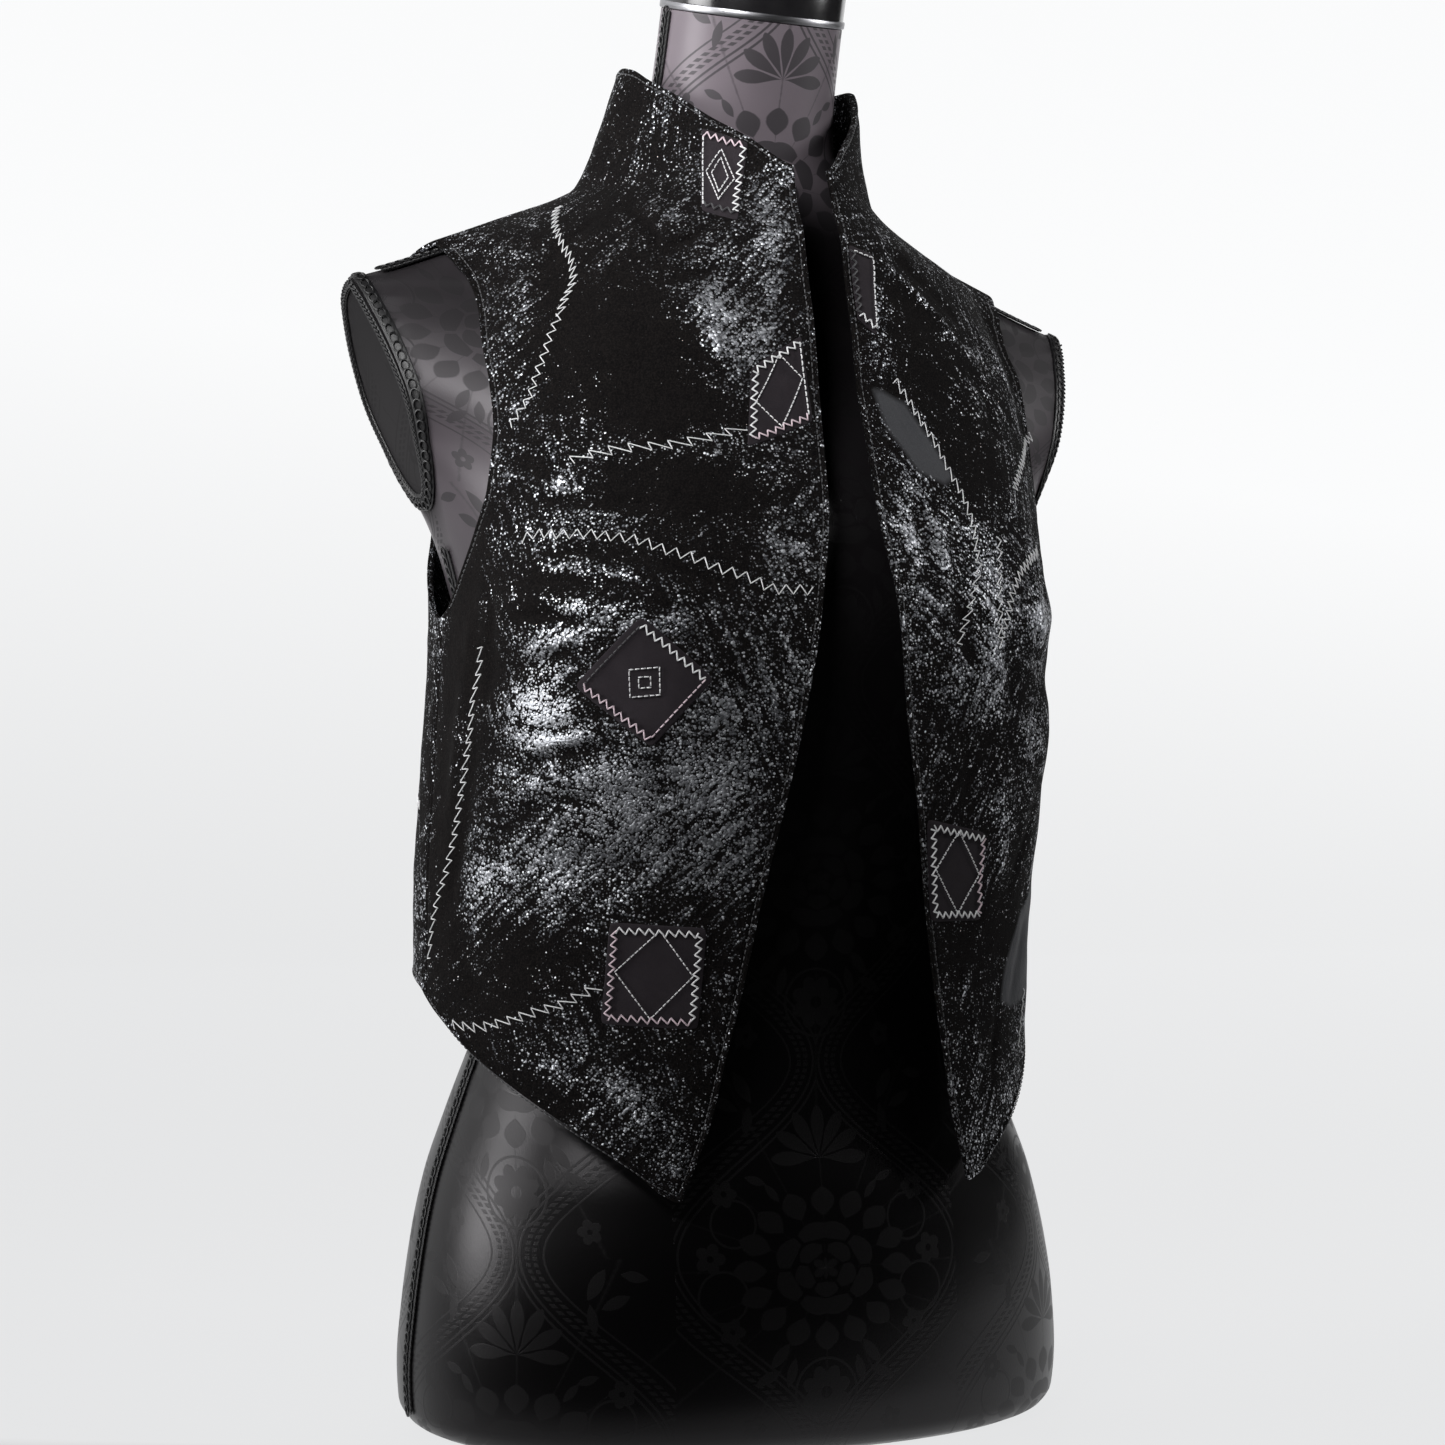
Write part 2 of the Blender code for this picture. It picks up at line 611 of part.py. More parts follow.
def build_arm_braid(form, side, name, collection, material):
    """A closed band folded over the rim of an arm plate: one leg lies on the body, one on the plate."""
    uncut = BVHTree.FromPolygons([vert.co for vert in form.data.vertices],
                                 [face.vertices for face in form.data.polygons])
    rim = plate_rim(form, side)
    outward = plate_normal(side)
    middle = sum(rim, Vector()) / len(rim)
    inner = BRAID_LIFT
    outer = BRAID_LIFT + BRAID_THICK
    mesh = bmesh.new()
    sections = []
    for i, point in enumerate(rim):
        before = rim[i - 1]
        after = rim[(i + 1) % len(rim)]
        along = ((after - point).normalized() + (point - before).normalized()).normalized()
        inward = outward.cross(along).normalized()
        if inward.dot(middle - point) < 0:
            inward.negate()
        room = PLATE_LEG
        for other in rim:
            gap = other - point
            if gap.dot(inward) > 0.0001:
                room = min(room, 0.8 * gap.length_squared / (2 * gap.dot(inward)))
        body = nearest_place(uncut, point)[1]
        away = body.cross(along).normalized()
        if away.dot(outward) > 0:
            away.negate()
        corner = (outward + body) / max(0.6, 1 + outward.dot(body))
        leg = point + inward * room
        half, half_out = nearest_place(uncut, point + away * BODY_LEG / 2)
        foot, foot_out = nearest_place(uncut, point + away * BODY_LEG)
        sections.append([mesh.verts.new(place_of) for place_of in (
            leg + outward * inner, leg + outward * outer, point + corner * outer,
            half + half_out * outer, foot + foot_out * outer, foot + foot_out * inner, half + half_out * inner,
            point + corner * inner)])
    for first, second in zip(sections, sections[1:] + sections[:1]):
        for k in range(8):
            mesh.faces.new((first[k], first[(k + 1) % 8], second[(k + 1) % 8], second[k]))
    bmesh.ops.recalc_face_normals(mesh, faces=mesh.faces)
    data = bpy.data.meshes.new(name)
    mesh.to_mesh(data)
    mesh.free()
    return add_object(name, data, collection, material, smooth=radians(50))


# The vest

SHARES = np.linspace(0, 1, 14)
COLLAR_DEGREES = (104, 118, 133, 149, 165, 177.5)
BODY_ROWS = 10
BODY_TOP = 0.380
ARMHOLE_ROWS = (0.392, 0.397, 0.405, 0.418, 0.435, 0.455, 0.478, 0.503, 0.527, 0.545, 0.556, 0.565,
                0.572, 0.579, 0.584, 0.590, 0.596, 0.602)
COLLAR_ROWS = 5


def side_degrees(height):
    """Where the front panel ends at its side: at the side seam, the armhole or the shoulder seam."""
    return float(ARMHOLE["front_degrees"](height))


def front_rows(side):
    """Rows of outer points of a front panel, from the hem to the collar's top edge."""
    seam = SEAM_GAP / 2
    rows = []

    def point(degrees, height):
        radius = float(vest_radius(side, radians(degrees), height))
        turn = radians(degrees)
        if abs(degrees - 90) < 0.01:
            turn = radians(90) - seam / radius
        if abs(degrees - 180) < 0.01:
            turn = pi - seam / radius
        return place(radius, side, turn, height)

    def stretch(first, last):
        return [first + (last - first) * share for share in SHARES]

    hem = HEM["right"] if side < 0 else HEM["left"]
    hem_angles = stretch(90, np.degrees(edge_angle(side, float(hem(36)))))
    for k in range(BODY_ROWS):
        share = k / BODY_ROWS
        row = []
        for s, hem_degrees in zip(SHARES, hem_angles):
            height = float(hem(hem_degrees)) * (1 - share) + BODY_TOP * share
            edge = np.degrees(edge_angle(side, height))
            row.append(point(90 + (edge - 90) * s, height))
        rows.append(row)
    for height in (BODY_TOP,) + ARMHOLE_ROWS:
        edge = float(np.degrees(edge_angle(side, height)))
        rows.append([point(degrees, height) for degrees in stretch(side_degrees(height), edge)])
    for k in range(COLLAR_ROWS + 1):
        share = k / COLLAR_ROWS
        row = []
        for s in SHARES[::-1]:
            degrees = 90 + (np.degrees(edge_angle(side, 0.614)) - 90) * s
            height = NECKLINE * (1 - share) + float(COLLAR_TOP(degrees)) * share
            edge = np.degrees(edge_angle(side, height))
            row.append(point(90 + (edge - 90) * s, height))
        for degrees in COLLAR_DEGREES + (180,):
            height = NECKLINE * (1 - share) + float(COLLAR_TOP(degrees)) * share
            row.append(point(degrees, height))
        rows.append(row)
    # Body rows are turned round to start at the front edge, as the collar rows do
    body = len(rows) - COLLAR_ROWS - 1
    return [row[::-1] for row in rows[:body]] + rows[body:]


def build_front(side, name, collection, material):
    data = grid_mesh(name, front_rows(side), flip=side < 0)
    item = add_object(name, data, collection, material)
    thicken(item, CLOTH)
    return item


def back_rows():
    """Rows of outer points of the back panel, from the hem to the neckline."""
    seam = SEAM_GAP / 2
    shares = np.linspace(-1, 1, 21)
    neckline = NECKLINE - SEAM_GAP
    rows = []

    def row_at(share_up, height_of, end_degrees):
        row = []
        for share in shares:
            side = 1 if share > 0 else -1
            degrees = 180 - (180 - end_degrees) * abs(share)
            height = height_of(degrees)
            radius = float(vest_radius(side, radians(degrees), height))
            turn = radians(degrees)
            if abs(degrees - 90) < 0.01:
                turn = radians(90) + seam / radius
            row.append(place(radius, side, turn, height))
        return row

    for k in range(BODY_ROWS):
        share = k / BODY_ROWS
        rows.append(row_at(share, lambda degrees: float(HEM["right"](degrees)) * (1 - share) + BODY_TOP * share, 90))
    for height in (BODY_TOP,) + ARMHOLE_ROWS + (neckline,):
        end = float(ARMHOLE["back_degrees"](height))
        rows.append(row_at(0, lambda degrees: height, end))
    return rows


def build_back(collection, material):
    data = grid_mesh("vest_back", back_rows())
    item = add_object("vest_back", data, collection, material)
    thicken(item, CLOTH)
    return item


def build_patch(name, tree, side, corners, collection, material):
    """A patch laid on a panel: points of the panel's outer face between four corners, moved out."""

    def face_point(angle, height):
        return place(vest_radius(side, angle, height), side, angle, height)

    rows = []
    for up in np.linspace(0, 1, PATCH_POINTS):
        row = []
        for across in np.linspace(0, 1, PATCH_POINTS):
            shares = (up * (1 - across), up * across, (1 - up) * across, (1 - up) * (1 - across))
            degrees, height = np.array(shares) @ np.array(corners)
            row.append(laid_point(tree, face_point, radians(degrees), height, PATCH_LIFT, side))
        rows.append(row)
    patch = add_object(name, grid_mesh(name, rows, flip=side > 0), collection, material)
    thicken(patch, PATCH_THICK, offset=1)
    return patch


def build():
    clear_scene()
    parts = make_collection("faux_leather_vest_on_form")
    cutters = make_collection("cutters")
    suede = make_material("vest_suede", BLACK_SUEDE, 0.55)
    patch = make_material("patch_suede", PATCH_SUEDE, 0.85)
    satin = make_material("form_satin", CHARCOAL_SATIN, 0.45)
    gimp = make_material("gimp_braid", BLACK_GIMP, 0.5)
    gloss = make_material("cap_gloss", BLACK_GLOSS, 0.2)
    form = build_form(parts, cutters, satin)
    build_cap(parts, gloss)
    body = face_tree(form)
    for side, hand in ((-1, "right"), (1, "left")):
        braid_strip(f"braid_side_{hand}", body, side, SIDE_BRAID_HEIGHTS, parts, gimp)
        braid_strip(f"braid_shoulder_{hand}", body, side, SHOULDER_BRAID_HEIGHTS, parts, gimp)
        build_arm_braid(form, side, f"braid_arm_{hand}", parts, gimp)
    fronts = {-1: build_front(-1, "vest_front_right", parts, suede),
              1: build_front(1, "vest_front_left", parts, suede)}
    build_back(parts, suede)
    for name, side, corners in PATCHES:
        build_patch(name, face_tree(fronts[side]), side, corners, parts, patch)


build()
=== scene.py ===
import bpy
import numpy as np
from math import cos, pi, radians, sin, tan
from mathutils import Matrix, Vector, noise
from mathutils.bvhtree import BVHTree
from mathutils.kdtree import KDTree


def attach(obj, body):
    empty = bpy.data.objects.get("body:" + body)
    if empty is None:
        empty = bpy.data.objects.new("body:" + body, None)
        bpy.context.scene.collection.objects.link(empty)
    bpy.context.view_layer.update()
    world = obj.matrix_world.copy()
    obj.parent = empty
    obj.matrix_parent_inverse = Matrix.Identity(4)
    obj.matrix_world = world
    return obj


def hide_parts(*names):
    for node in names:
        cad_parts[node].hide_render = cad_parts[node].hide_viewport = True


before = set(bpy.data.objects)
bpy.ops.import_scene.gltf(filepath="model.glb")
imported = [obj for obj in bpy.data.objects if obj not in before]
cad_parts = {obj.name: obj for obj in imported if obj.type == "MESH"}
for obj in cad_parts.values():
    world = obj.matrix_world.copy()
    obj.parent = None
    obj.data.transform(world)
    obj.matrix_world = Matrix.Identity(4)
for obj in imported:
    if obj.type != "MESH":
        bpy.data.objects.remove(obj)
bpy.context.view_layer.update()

# Dress form
# A padded body stretched with charcoal satin damask, with a flat base, a leaning neck and a flat plate where
# each arm would start. Its level sections are read in polar form round a centre line that leans with the
# torso: angle 0 looks to the front (-Y), and the wearer's right is -X.

NECK_TOP = 0.700
NECK_TILT = radians(13.5)
NECK_FOOT = 0.612
PLATE_TOP_HEIGHT = 0.5555
PLATE_TOP_HALF_WIDTH = 0.1990
PLATE_SLANT = radians(18.5)
PLATE_FOOT_HEIGHT = 0.4322


def smooth_through(places, values):
    """Returns a smooth function through the values that never swings past its neighbours."""
    places = np.array(places, float)
    values = np.array(values, float)
    runs = np.diff(places)
    grades = np.diff(values) / runs
    slopes = np.concatenate([grades[:1], np.zeros(len(grades) - 1), grades[-1:]])
    for i in range(1, len(grades)):
        if grades[i - 1] * grades[i] > 0:
            slopes[i] = 2 * grades[i - 1] * grades[i] / (grades[i - 1] + grades[i])

    def read(where):
        where = np.clip(where, places[0], places[-1])
        i = np.clip(np.searchsorted(places, where, side="right") - 1, 0, len(runs) - 1)
        t = (where - places[i]) / runs[i]
        ends = values[i] * (1 + 2 * t) * (1 - t) ** 2 + values[i + 1] * t * t * (3 - 2 * t)
        return ends + runs[i] * (slopes[i] * t * (1 - t) ** 2 - slopes[i + 1] * t * t * (1 - t))

    return read


def read_table(names, rows):
    """Returns a smooth function of the first column for each other column, by its name."""
    columns = list(zip(*rows))
    return {name: smooth_through(columns[0], column) for name, column in zip(names.split(), columns[1:])}


# Rows of height, then how far back the centre line stands
SET_BACK = read_table("set_back", (
    (0, 0), (0.06, 0.002), (0.12, 0.0085), (0.18, 0.015), (0.24, 0.018), (0.3, 0.02), (0.37, 0.0235),
    (0.44, 0.03), (0.505, 0.0362), (0.53, 0.04), (0.556, 0.0455), (0.579, 0.048), (0.592, 0.0475),
    (0.604, 0.0445), (0.625, 0.039), (0.668, 0.0285), (0.7, 0.021),
))["set_back"]

# Rows of height, then the sizes and the roundness of the section there: 2 is an ellipse, more is squarer
SECTION = "half_width front back width_power front_power back_power"
FORM = read_table(SECTION, (
    (0, 0.16, 0.093, 0.101, 2.2, 2.2, 2.2), (0.003, 0.1662, 0.099, 0.107, 2.2, 2.2, 2.2),
    (0.011, 0.171, 0.104, 0.112, 2.2, 2.2, 2.2), (0.03, 0.1722, 0.1055, 0.113, 2.2, 2.2, 2.2),
    (0.06, 0.17, 0.1055, 0.111, 2.2, 2.2, 2.2), (0.09, 0.1655, 0.105, 0.108, 2.2, 2.2, 2.2),
    (0.12, 0.1585, 0.1035, 0.1025, 2.2, 2.2, 2.2), (0.15, 0.148, 0.1, 0.095, 2.15, 2.15, 2.15),
    (0.18, 0.1365, 0.099, 0.086, 2.1, 2.1, 2.1), (0.21, 0.125, 0.099, 0.076, 2.1, 2.1, 2.1),
    (0.24, 0.118, 0.099, 0.068, 2.1, 2.1, 2.1), (0.27, 0.117, 0.101, 0.064, 2.1, 2.1, 2.1),
    (0.3, 0.1205, 0.105, 0.064, 2.1, 2.1, 2.15), (0.335, 0.129, 0.111, 0.067, 2.1, 2.1, 2.2),
    (0.37, 0.1395, 0.1195, 0.07, 2.1, 2.1, 2.3), (0.405, 0.148, 0.127, 0.073, 2.1, 2.05, 2.4),
    (0.435, 0.157, 0.129, 0.076, 2, 1.9, 2.6), (0.475, 0.1806, 0.116, 0.077, 1.8, 1.5, 2.9),
    (0.505, 0.205, 0.099, 0.075, 1.6, 1.34, 2.7), (0.53, 0.213, 0.085, 0.069, 1.6, 1.15, 2.4),
    (0.546, 0.211, 0.0785, 0.063, 1.4, 1.05, 2.1), (0.556, 0.201, 0.0735, 0.058, 1.3, 1, 1.9),
    (0.564, 0.179, 0.0695, 0.055, 1.3, 1, 1.6), (0.572, 0.157, 0.066, 0.052, 1.3, 1.05, 1.45),
    (0.58, 0.136, 0.0625, 0.049, 1.35, 1.1, 1.4), (0.588, 0.115, 0.0595, 0.047, 1.45, 1.2, 1.45),
    (0.596, 0.095, 0.056, 0.0465, 1.6, 1.45, 1.5), (0.604, 0.079, 0.0525, 0.047, 1.8, 1.7, 1.75),
    (0.613, 0.066, 0.05, 0.047, 2, 1.9, 1.9), (0.625, 0.056, 0.0478, 0.0468, 2, 2, 2),
    (0.642, 0.0495, 0.0464, 0.0462, 2, 2, 2), (0.668, 0.0465, 0.0458, 0.0458, 2, 2, 2),
    (0.7, 0.0458, 0.0458, 0.0458, 2, 2, 2),
))

BUST_RISE = 0.007
BUST_ANGLE = radians(33)
BUST_ANGLE_SPREAD = radians(20)
BUST_HEIGHT = 0.435
BUST_HEIGHT_SPREAD = 0.045

# Rows of height, then how deep the hollow between the chest and each arm plate is
HOLLOW = read_table("depth", (
    (0.4, 0), (0.435, 0.002), (0.475, 0.007), (0.505, 0.01), (0.53, 0.01), (0.546, 0.009), (0.556, 0.006),
    (0.564, 0.003), (0.576, 0),
))["depth"]
HOLLOW_ANGLE = radians(67)
HOLLOW_ANGLE_SPREAD = radians(17)

LEFT_DROP = 0.005
LEFT_DROP_REACH = 0.080


def ease(value, start, end):
    """Rises smoothly from 0 to 1 between two values."""
    share = np.clip((value - start) / (end - start), 0, 1)
    return share * share * (3 - 2 * share)


def section_radius(table, angle, height, wider=0.0):
    """Distance from the centre line to a rounded section, along an angle."""
    ahead = np.cos(angle) > 0
    depth = np.where(ahead, table["front"](height), table["back"](height))
    depth_power = np.where(ahead, table["front_power"](height), table["back_power"](height))
    width_power = table["width_power"](height)
    width_power = np.where(ahead, width_power, np.maximum(width_power, 2))
    across = np.abs(np.sin(angle)) / (table["half_width"](height) + wider)
    along = np.abs(np.cos(angle)) / depth
    near = 0.0 * across
    far = near + 0.4
    for _ in range(22):
        middle = (near + far) / 2
        outside = (middle * across) ** width_power + (middle * along) ** depth_power > 1
        near = np.where(outside, near, middle)
        far = np.where(outside, middle, far)
    return (near + far) / 2


def form_radius(angle, height):
    turn = (np.abs(angle) - BUST_ANGLE) / BUST_ANGLE_SPREAD
    rise = (height - BUST_HEIGHT) / BUST_HEIGHT_SPREAD
    inset = (np.abs(angle) - HOLLOW_ANGLE) / HOLLOW_ANGLE_SPREAD
    bust = BUST_RISE * np.exp(-turn ** 2 - rise ** 2)
    return section_radius(FORM, angle, height) + bust - HOLLOW(height) * np.exp(-inset ** 2)


def placed(radius, side, angle, height):
    """Points from their polar places; side is -1 on the wearer's right. The left shoulder is lower."""
    x = side * radius * np.sin(angle)
    y = SET_BACK(height) - radius * np.cos(angle)
    drop = LEFT_DROP * ease(x, 0, LEFT_DROP_REACH) * ease(height, 0.40, 0.52) * ease(-height, -0.650, -0.605)
    return np.stack([x, y, height - drop], axis=-1)


def form_points(angle, height, radius=None):
    """Points of the form's surface. The angle is below zero on the wearer's right."""
    points = placed(form_radius(angle, height) if radius is None else radius, 1, angle, height)
    lean = np.clip((height - NECK_FOOT) / (NECK_TOP - NECK_FOOT), 0, 1)
    points[..., 2] += lean * (points[..., 1] - SET_BACK(height)) * tan(NECK_TILT)
    return points


def plate_half_width(z):
    """How far out the flat plate of an arm stands at a height."""
    return PLATE_TOP_HALF_WIDTH - (PLATE_TOP_HEIGHT - z) * tan(PLATE_SLANT)


def runs_of(*stretches):
    """Values from one end to another at a step each, given as (start, end, step) stretches."""
    parts = [np.linspace(start, end, max(2, int(round((end - start) / step)) + 1))[:-1]
             for start, end, step in stretches]
    return np.concatenate(parts + [[stretches[-1][1]]])


def travelled(points):
    """The length gone by at each point of a line."""
    return np.concatenate([[0], np.cumsum(np.linalg.norm(np.diff(points, axis=0), axis=1))])


def unit(vectors):
    """Vectors brought to a length of 1."""
    return vectors / np.maximum(np.linalg.norm(vectors, axis=1), 1e-9)[:, None]


def ringed_faces(rings, around):
    """Faces between closed rings of points, and a face over the first ring and over the last one."""
    i, j = np.divmod(np.arange((rings - 1) * around), around)
    k = (j + 1) % around
    quads = np.stack([i * around + j, i * around + k, (i + 1) * around + k, (i + 1) * around + j], axis=1)
    return quads.tolist() + [list(range(around))[::-1], list(range((rings - 1) * around, rings * around))]


def mesh_of(name, points, faces, smooth=None):
    """A mesh object from its points and faces, in the scene."""
    data = bpy.data.meshes.new(name)
    data.from_pydata([tuple(point) for point in points], [], [tuple(face) for face in faces])
    data.shade_smooth()
    if smooth is not None:
        data.set_sharp_from_angle(angle=smooth)
    item = bpy.data.objects.new(name, data)
    bpy.context.scene.collection.objects.link(item)
    return item


def tree_of(points, faces):
    """A surface that rays can be cast at."""
    return BVHTree.FromPolygons([tuple(point) for point in points], [tuple(face) for face in faces])


def paint(item, name, values):
    """Keeps a value or a vector at each point of a mesh, for its material to read."""
    values = np.asarray(values, np.float32)
    kind = "FLOAT" if values.ndim == 1 else "FLOAT_VECTOR"
    layer = item.data.attributes.new(name, kind, "POINT")
    layer.data.foreach_set("value" if values.ndim == 1 else "vector", values.ravel())


class Value:
    """A number in a material's nodes, so that its maths can be written as a formula."""

    def __init__(self, tree, socket):
        self.tree = tree
        self.socket = socket

    def join(self, operation, *others, clamp=False):
        node = self.tree.nodes.new("ShaderNodeMath")
        node.operation = operation
        node.use_clamp = clamp
        for slot, value in enumerate((self,) + others):
            if isinstance(value, Value):
                self.tree.links.new(value.socket, node.inputs[slot])
            else:
                node.inputs[slot].default_value = value
        return Value(self.tree, node.outputs[0])

    def __add__(self, other):
        return self.join("ADD", other)

    def __sub__(self, other):
        return self.join("SUBTRACT", other)

    def __rsub__(self, other):
        return self * -1.0 + other

    def __mul__(self, other):
        return self.join("MULTIPLY", other)

    def __truediv__(self, other):
        return self.join("DIVIDE", other)

    def __pow__(self, other):
        return self.join("POWER", other)

    def __abs__(self):
        return self.join("ABSOLUTE")

    def over(self, edge, soft):
        """Rises from 0 to 1 as the value passes an edge."""
        return ((self - edge) / (2 * soft)).join("ADD", 0.5, clamp=True)

    def either(self, other):
        return self.join("MAXIMUM", other)

    def both(self, other):
        return self.join("MINIMUM", other)


class Look:
    """A material and the nodes that shade it."""

    def __init__(self, name):
        self.material = bpy.data.materials.new(name)
        self.material.use_nodes = True
        self.tree = self.material.node_tree
        self.shader = self.tree.nodes["Principled BSDF"]
        self.place = self.tree.nodes.new("ShaderNodeTexCoord").outputs["Object"]

    def feed(self, **inputs):
        """Sets or links inputs of the shader: a number, a colour, a Value or a socket."""
        for name, value in inputs.items():
            slot = self.shader.inputs[name.replace("_", " ")]
            if isinstance(value, Value):
                value = value.socket
            if isinstance(value, bpy.types.NodeSocket):
                self.tree.links.new(value, slot)
            else:
                slot.default_value = value

    def split(self, socket):
        """The three numbers of a vector."""
        node = self.tree.nodes.new("ShaderNodeSeparateXYZ")
        self.tree.links.new(socket, node.inputs[0])
        return [Value(self.tree, node.outputs[k]) for k in range(3)]

    def named(self, attribute):
        """What was painted on the mesh under a name: a number, and the same as a vector."""
        node = self.tree.nodes.new("ShaderNodeAttribute")
        node.attribute_name = attribute
        return Value(self.tree, node.outputs["Fac"]), node.outputs["Vector"]

    def cloudy(self, vector, scale, detail=2.0, rough=0.5, stretch=(1, 1, 1), shift=(0, 0, 0), twist=0.0):
        """Soft noise from 0 to 1, with its grain drawn out where a stretch is under 1."""
        mapping = self.tree.nodes.new("ShaderNodeMapping")
        mapping.inputs["Scale"].default_value = stretch
        mapping.inputs["Location"].default_value = shift
        self.tree.links.new(vector, mapping.inputs["Vector"])
        node = self.tree.nodes.new("ShaderNodeTexNoise")
        settings = {"Scale": scale, "Detail": detail, "Roughness": rough, "Distortion": twist}
        for name, value in settings.items():
            node.inputs[name].default_value = value
        self.tree.links.new(mapping.outputs[0], node.inputs["Vector"])
        return Value(self.tree, node.outputs["Fac"])

    def blend(self, share, first, second):
        """A colour between two, each a colour or a socket, by a share."""
        node = self.tree.nodes.new("ShaderNodeMix")
        node.data_type = "RGBA"
        self.tree.links.new(share.socket, node.inputs[0])
        for slot, colour in ((6, first), (7, second)):
            if isinstance(colour, tuple):
                node.inputs[slot].default_value = (*colour, 1.0)
            else:
                self.tree.links.new(colour, node.inputs[slot])
        return node.outputs[2]

    def bump(self, height, distance):
        """Raises the shading by a height from 0 to 1 times a distance."""
        node = self.tree.nodes.new("ShaderNodeBump")
        node.inputs["Strength"].default_value = 1.0
        node.inputs["Distance"].default_value = distance
        self.tree.links.new(height.socket, node.inputs["Height"])
        self.tree.links.new(node.outputs[0], self.shader.inputs["Normal"])


def stands_for(item, node, look):
    """Gives a piece its material, hangs it on the root body and hides the CAD node it stands for."""
    item.data.materials.append(look.material)
    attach(item, "root")
    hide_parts(node)


SPOKES = 192
levels = runs_of((0, 0.003, 0.001), (0.003, 0.011, 0.002), (0.011, 0.42, 0.004), (0.42, 0.53, 0.0026),
                 (0.53, NECK_FOOT, 0.0013), (NECK_FOOT, NECK_TOP, 0.003))
turn_grid, level_grid = np.meshgrid(np.linspace(-pi, pi, SPOKES, endpoint=False), levels)
uncut_radius = form_radius(turn_grid, level_grid)
uncut = form_points(turn_grid, level_grid, uncut_radius)
lean_free = placed(uncut_radius, 1, turn_grid, level_grid)
reach = plate_half_width(lean_free[..., 2])
in_plate = (np.abs(uncut[..., 0]) > reach) & (lean_free[..., 2] > PLATE_FOOT_HEIGHT) & (level_grid < 0.60)
cut_radius = np.where(in_plate, reach / np.maximum(np.abs(np.sin(turn_grid)), 0.2), uncut_radius)
surface = form_points(turn_grid, level_grid, cut_radius)

# The cloth's own measure, for the woven pattern: round from the middle of the front, and up from the base
around = np.zeros_like(turn_grid)
steps = np.linalg.norm(np.diff(uncut, axis=1), axis=2)
middle = SPOKES // 2
around[:, middle + 1:] = np.cumsum(steps[:, middle:], axis=1)
around[:, :middle] = -np.cumsum(steps[:, :middle][:, ::-1], axis=1)[:, ::-1]
up_cloth = travelled(uncut[:, middle])[:, None] + 0 * turn_grid
cloth = np.stack([around, up_cloth, 0 * around], axis=-1)
on_plates = np.stack([surface[..., 1] + 0.02, surface[..., 2] / cos(PLATE_SLANT), 0 * around], axis=-1)
cloth[in_plate] = on_plates[in_plate]

cells = ringed_faces(len(levels), SPOKES)
form = mesh_of("form_body", surface.reshape(-1, 3), cells, smooth=radians(40))
paint(form, "cloth", cloth.reshape(-1, 3))
uncut_tree = tree_of(uncut.reshape(-1, 3), cells[:-2])

# The woven pattern, in millimetres of cloth. It repeats in columns, each dropped by half against the next,
# and is mirrored about the middle of its column
TILE = 150.0
DROP = 184.0
APEX = 744.0
EDGE_SOFT = 0.28
satin = Look("charcoal_satin_damask")
weave_place = satin.named("cloth")[1]
u, v, _ = satin.split(weave_place)
u = u * 1000.0
v = v * 1000.0
column = (u / TILE + 0.5).join("FLOOR")
x = abs(u - column * TILE)
odd = abs(column).join("MODULO", 2.0)
y = (v * -1.0 + odd * (DROP / 2) + APEX).join("FLOORED_MODULO", DROP)


def line_at(value, half_width):
    """A line where a value is near zero."""
    return (half_width - abs(value)).over(0.0, EDGE_SOFT)


def leaf(cx, cy, degrees, length, width):
    """A pointed leaf with its middle at a place of the repeat, turned from pointing down."""
    turn = radians(degrees)
    along = (x - cx) * sin(turn) + (y - cy) * cos(turn)
    across = abs((x - cx) * cos(turn) - (y - cy) * sin(turn))
    ratio = along / (length / 2)
    return (((ratio * ratio) * -width / 2 + width / 2) - across).over(0.0, EDGE_SOFT)


def blossom(cx, cy, radius, petals, notch=0.28):
    """A round flower with a number of petals and a bare eye."""
    dx = x - cx
    dy = y - cy
    spread = (dx * dx + dy * dy) ** 0.5
    lobes = (dy.join("ARCTAN2", dx) * (petals / 2)).join("SINE")
    edge = abs(lobes) * (radius * notch) + radius * (1 - notch)
    return (edge - spread).over(0.0, EDGE_SOFT).both((spread - radius * 0.22).over(0.0, EDGE_SOFT))


def ring(cx, cy, radius, width):
    dx = x - cx
    dy = y - cy
    return line_at((dx * dx + dy * dy) ** 0.5 - radius, width / 2)


# Wavy bands that part and meet, each a pair of lines, a lattice and an outer line
turns = y * (2 * pi / DROP)
ogee = (1.0 - turns.join("COSINE")) * (TILE / 4)
slope = turns.join("SINE") * (TILE / 4 * 2 * pi / DROP)
off_band = (x - ogee) / ((slope * slope + 1.0) ** 0.5)
lattice = (3.8 - abs(off_band - 7.2)).over(0.0, 0.1)
for cell_place in ((off_band / 3.6).join("FRACT"), (y * 1.2 / 3.6).join("FRACT")):
    lattice = lattice.both((0.29 - abs(cell_place - 0.5)).over(0.0, 0.06))
motif = line_at(abs(off_band) - 1.5, 0.55).either(line_at(off_band - 13.5, 0.5)).either(lattice)

# A fan of leaves over the meeting of the bands
fan_y = 46.0 - y
fan_turn = x.join("ARCTAN2", fan_y)
fan_reach = (x * x + fan_y * fan_y) ** 0.5 / 25.0
fan_lobe = abs((fan_turn / radians(30) + 0.5).join("FRACT") - 0.5) * 2.0
fan_width = (fan_reach.both(1.0) * pi).join("SINE") ** 0.7
fan = (fan_width * 0.86 - fan_lobe).over(0.0, 0.08).both((radians(104) - fan_turn).over(0.0, 0.02))
motif = motif.either(fan.both((1.0 - fan_reach).over(0.0, 0.01)))

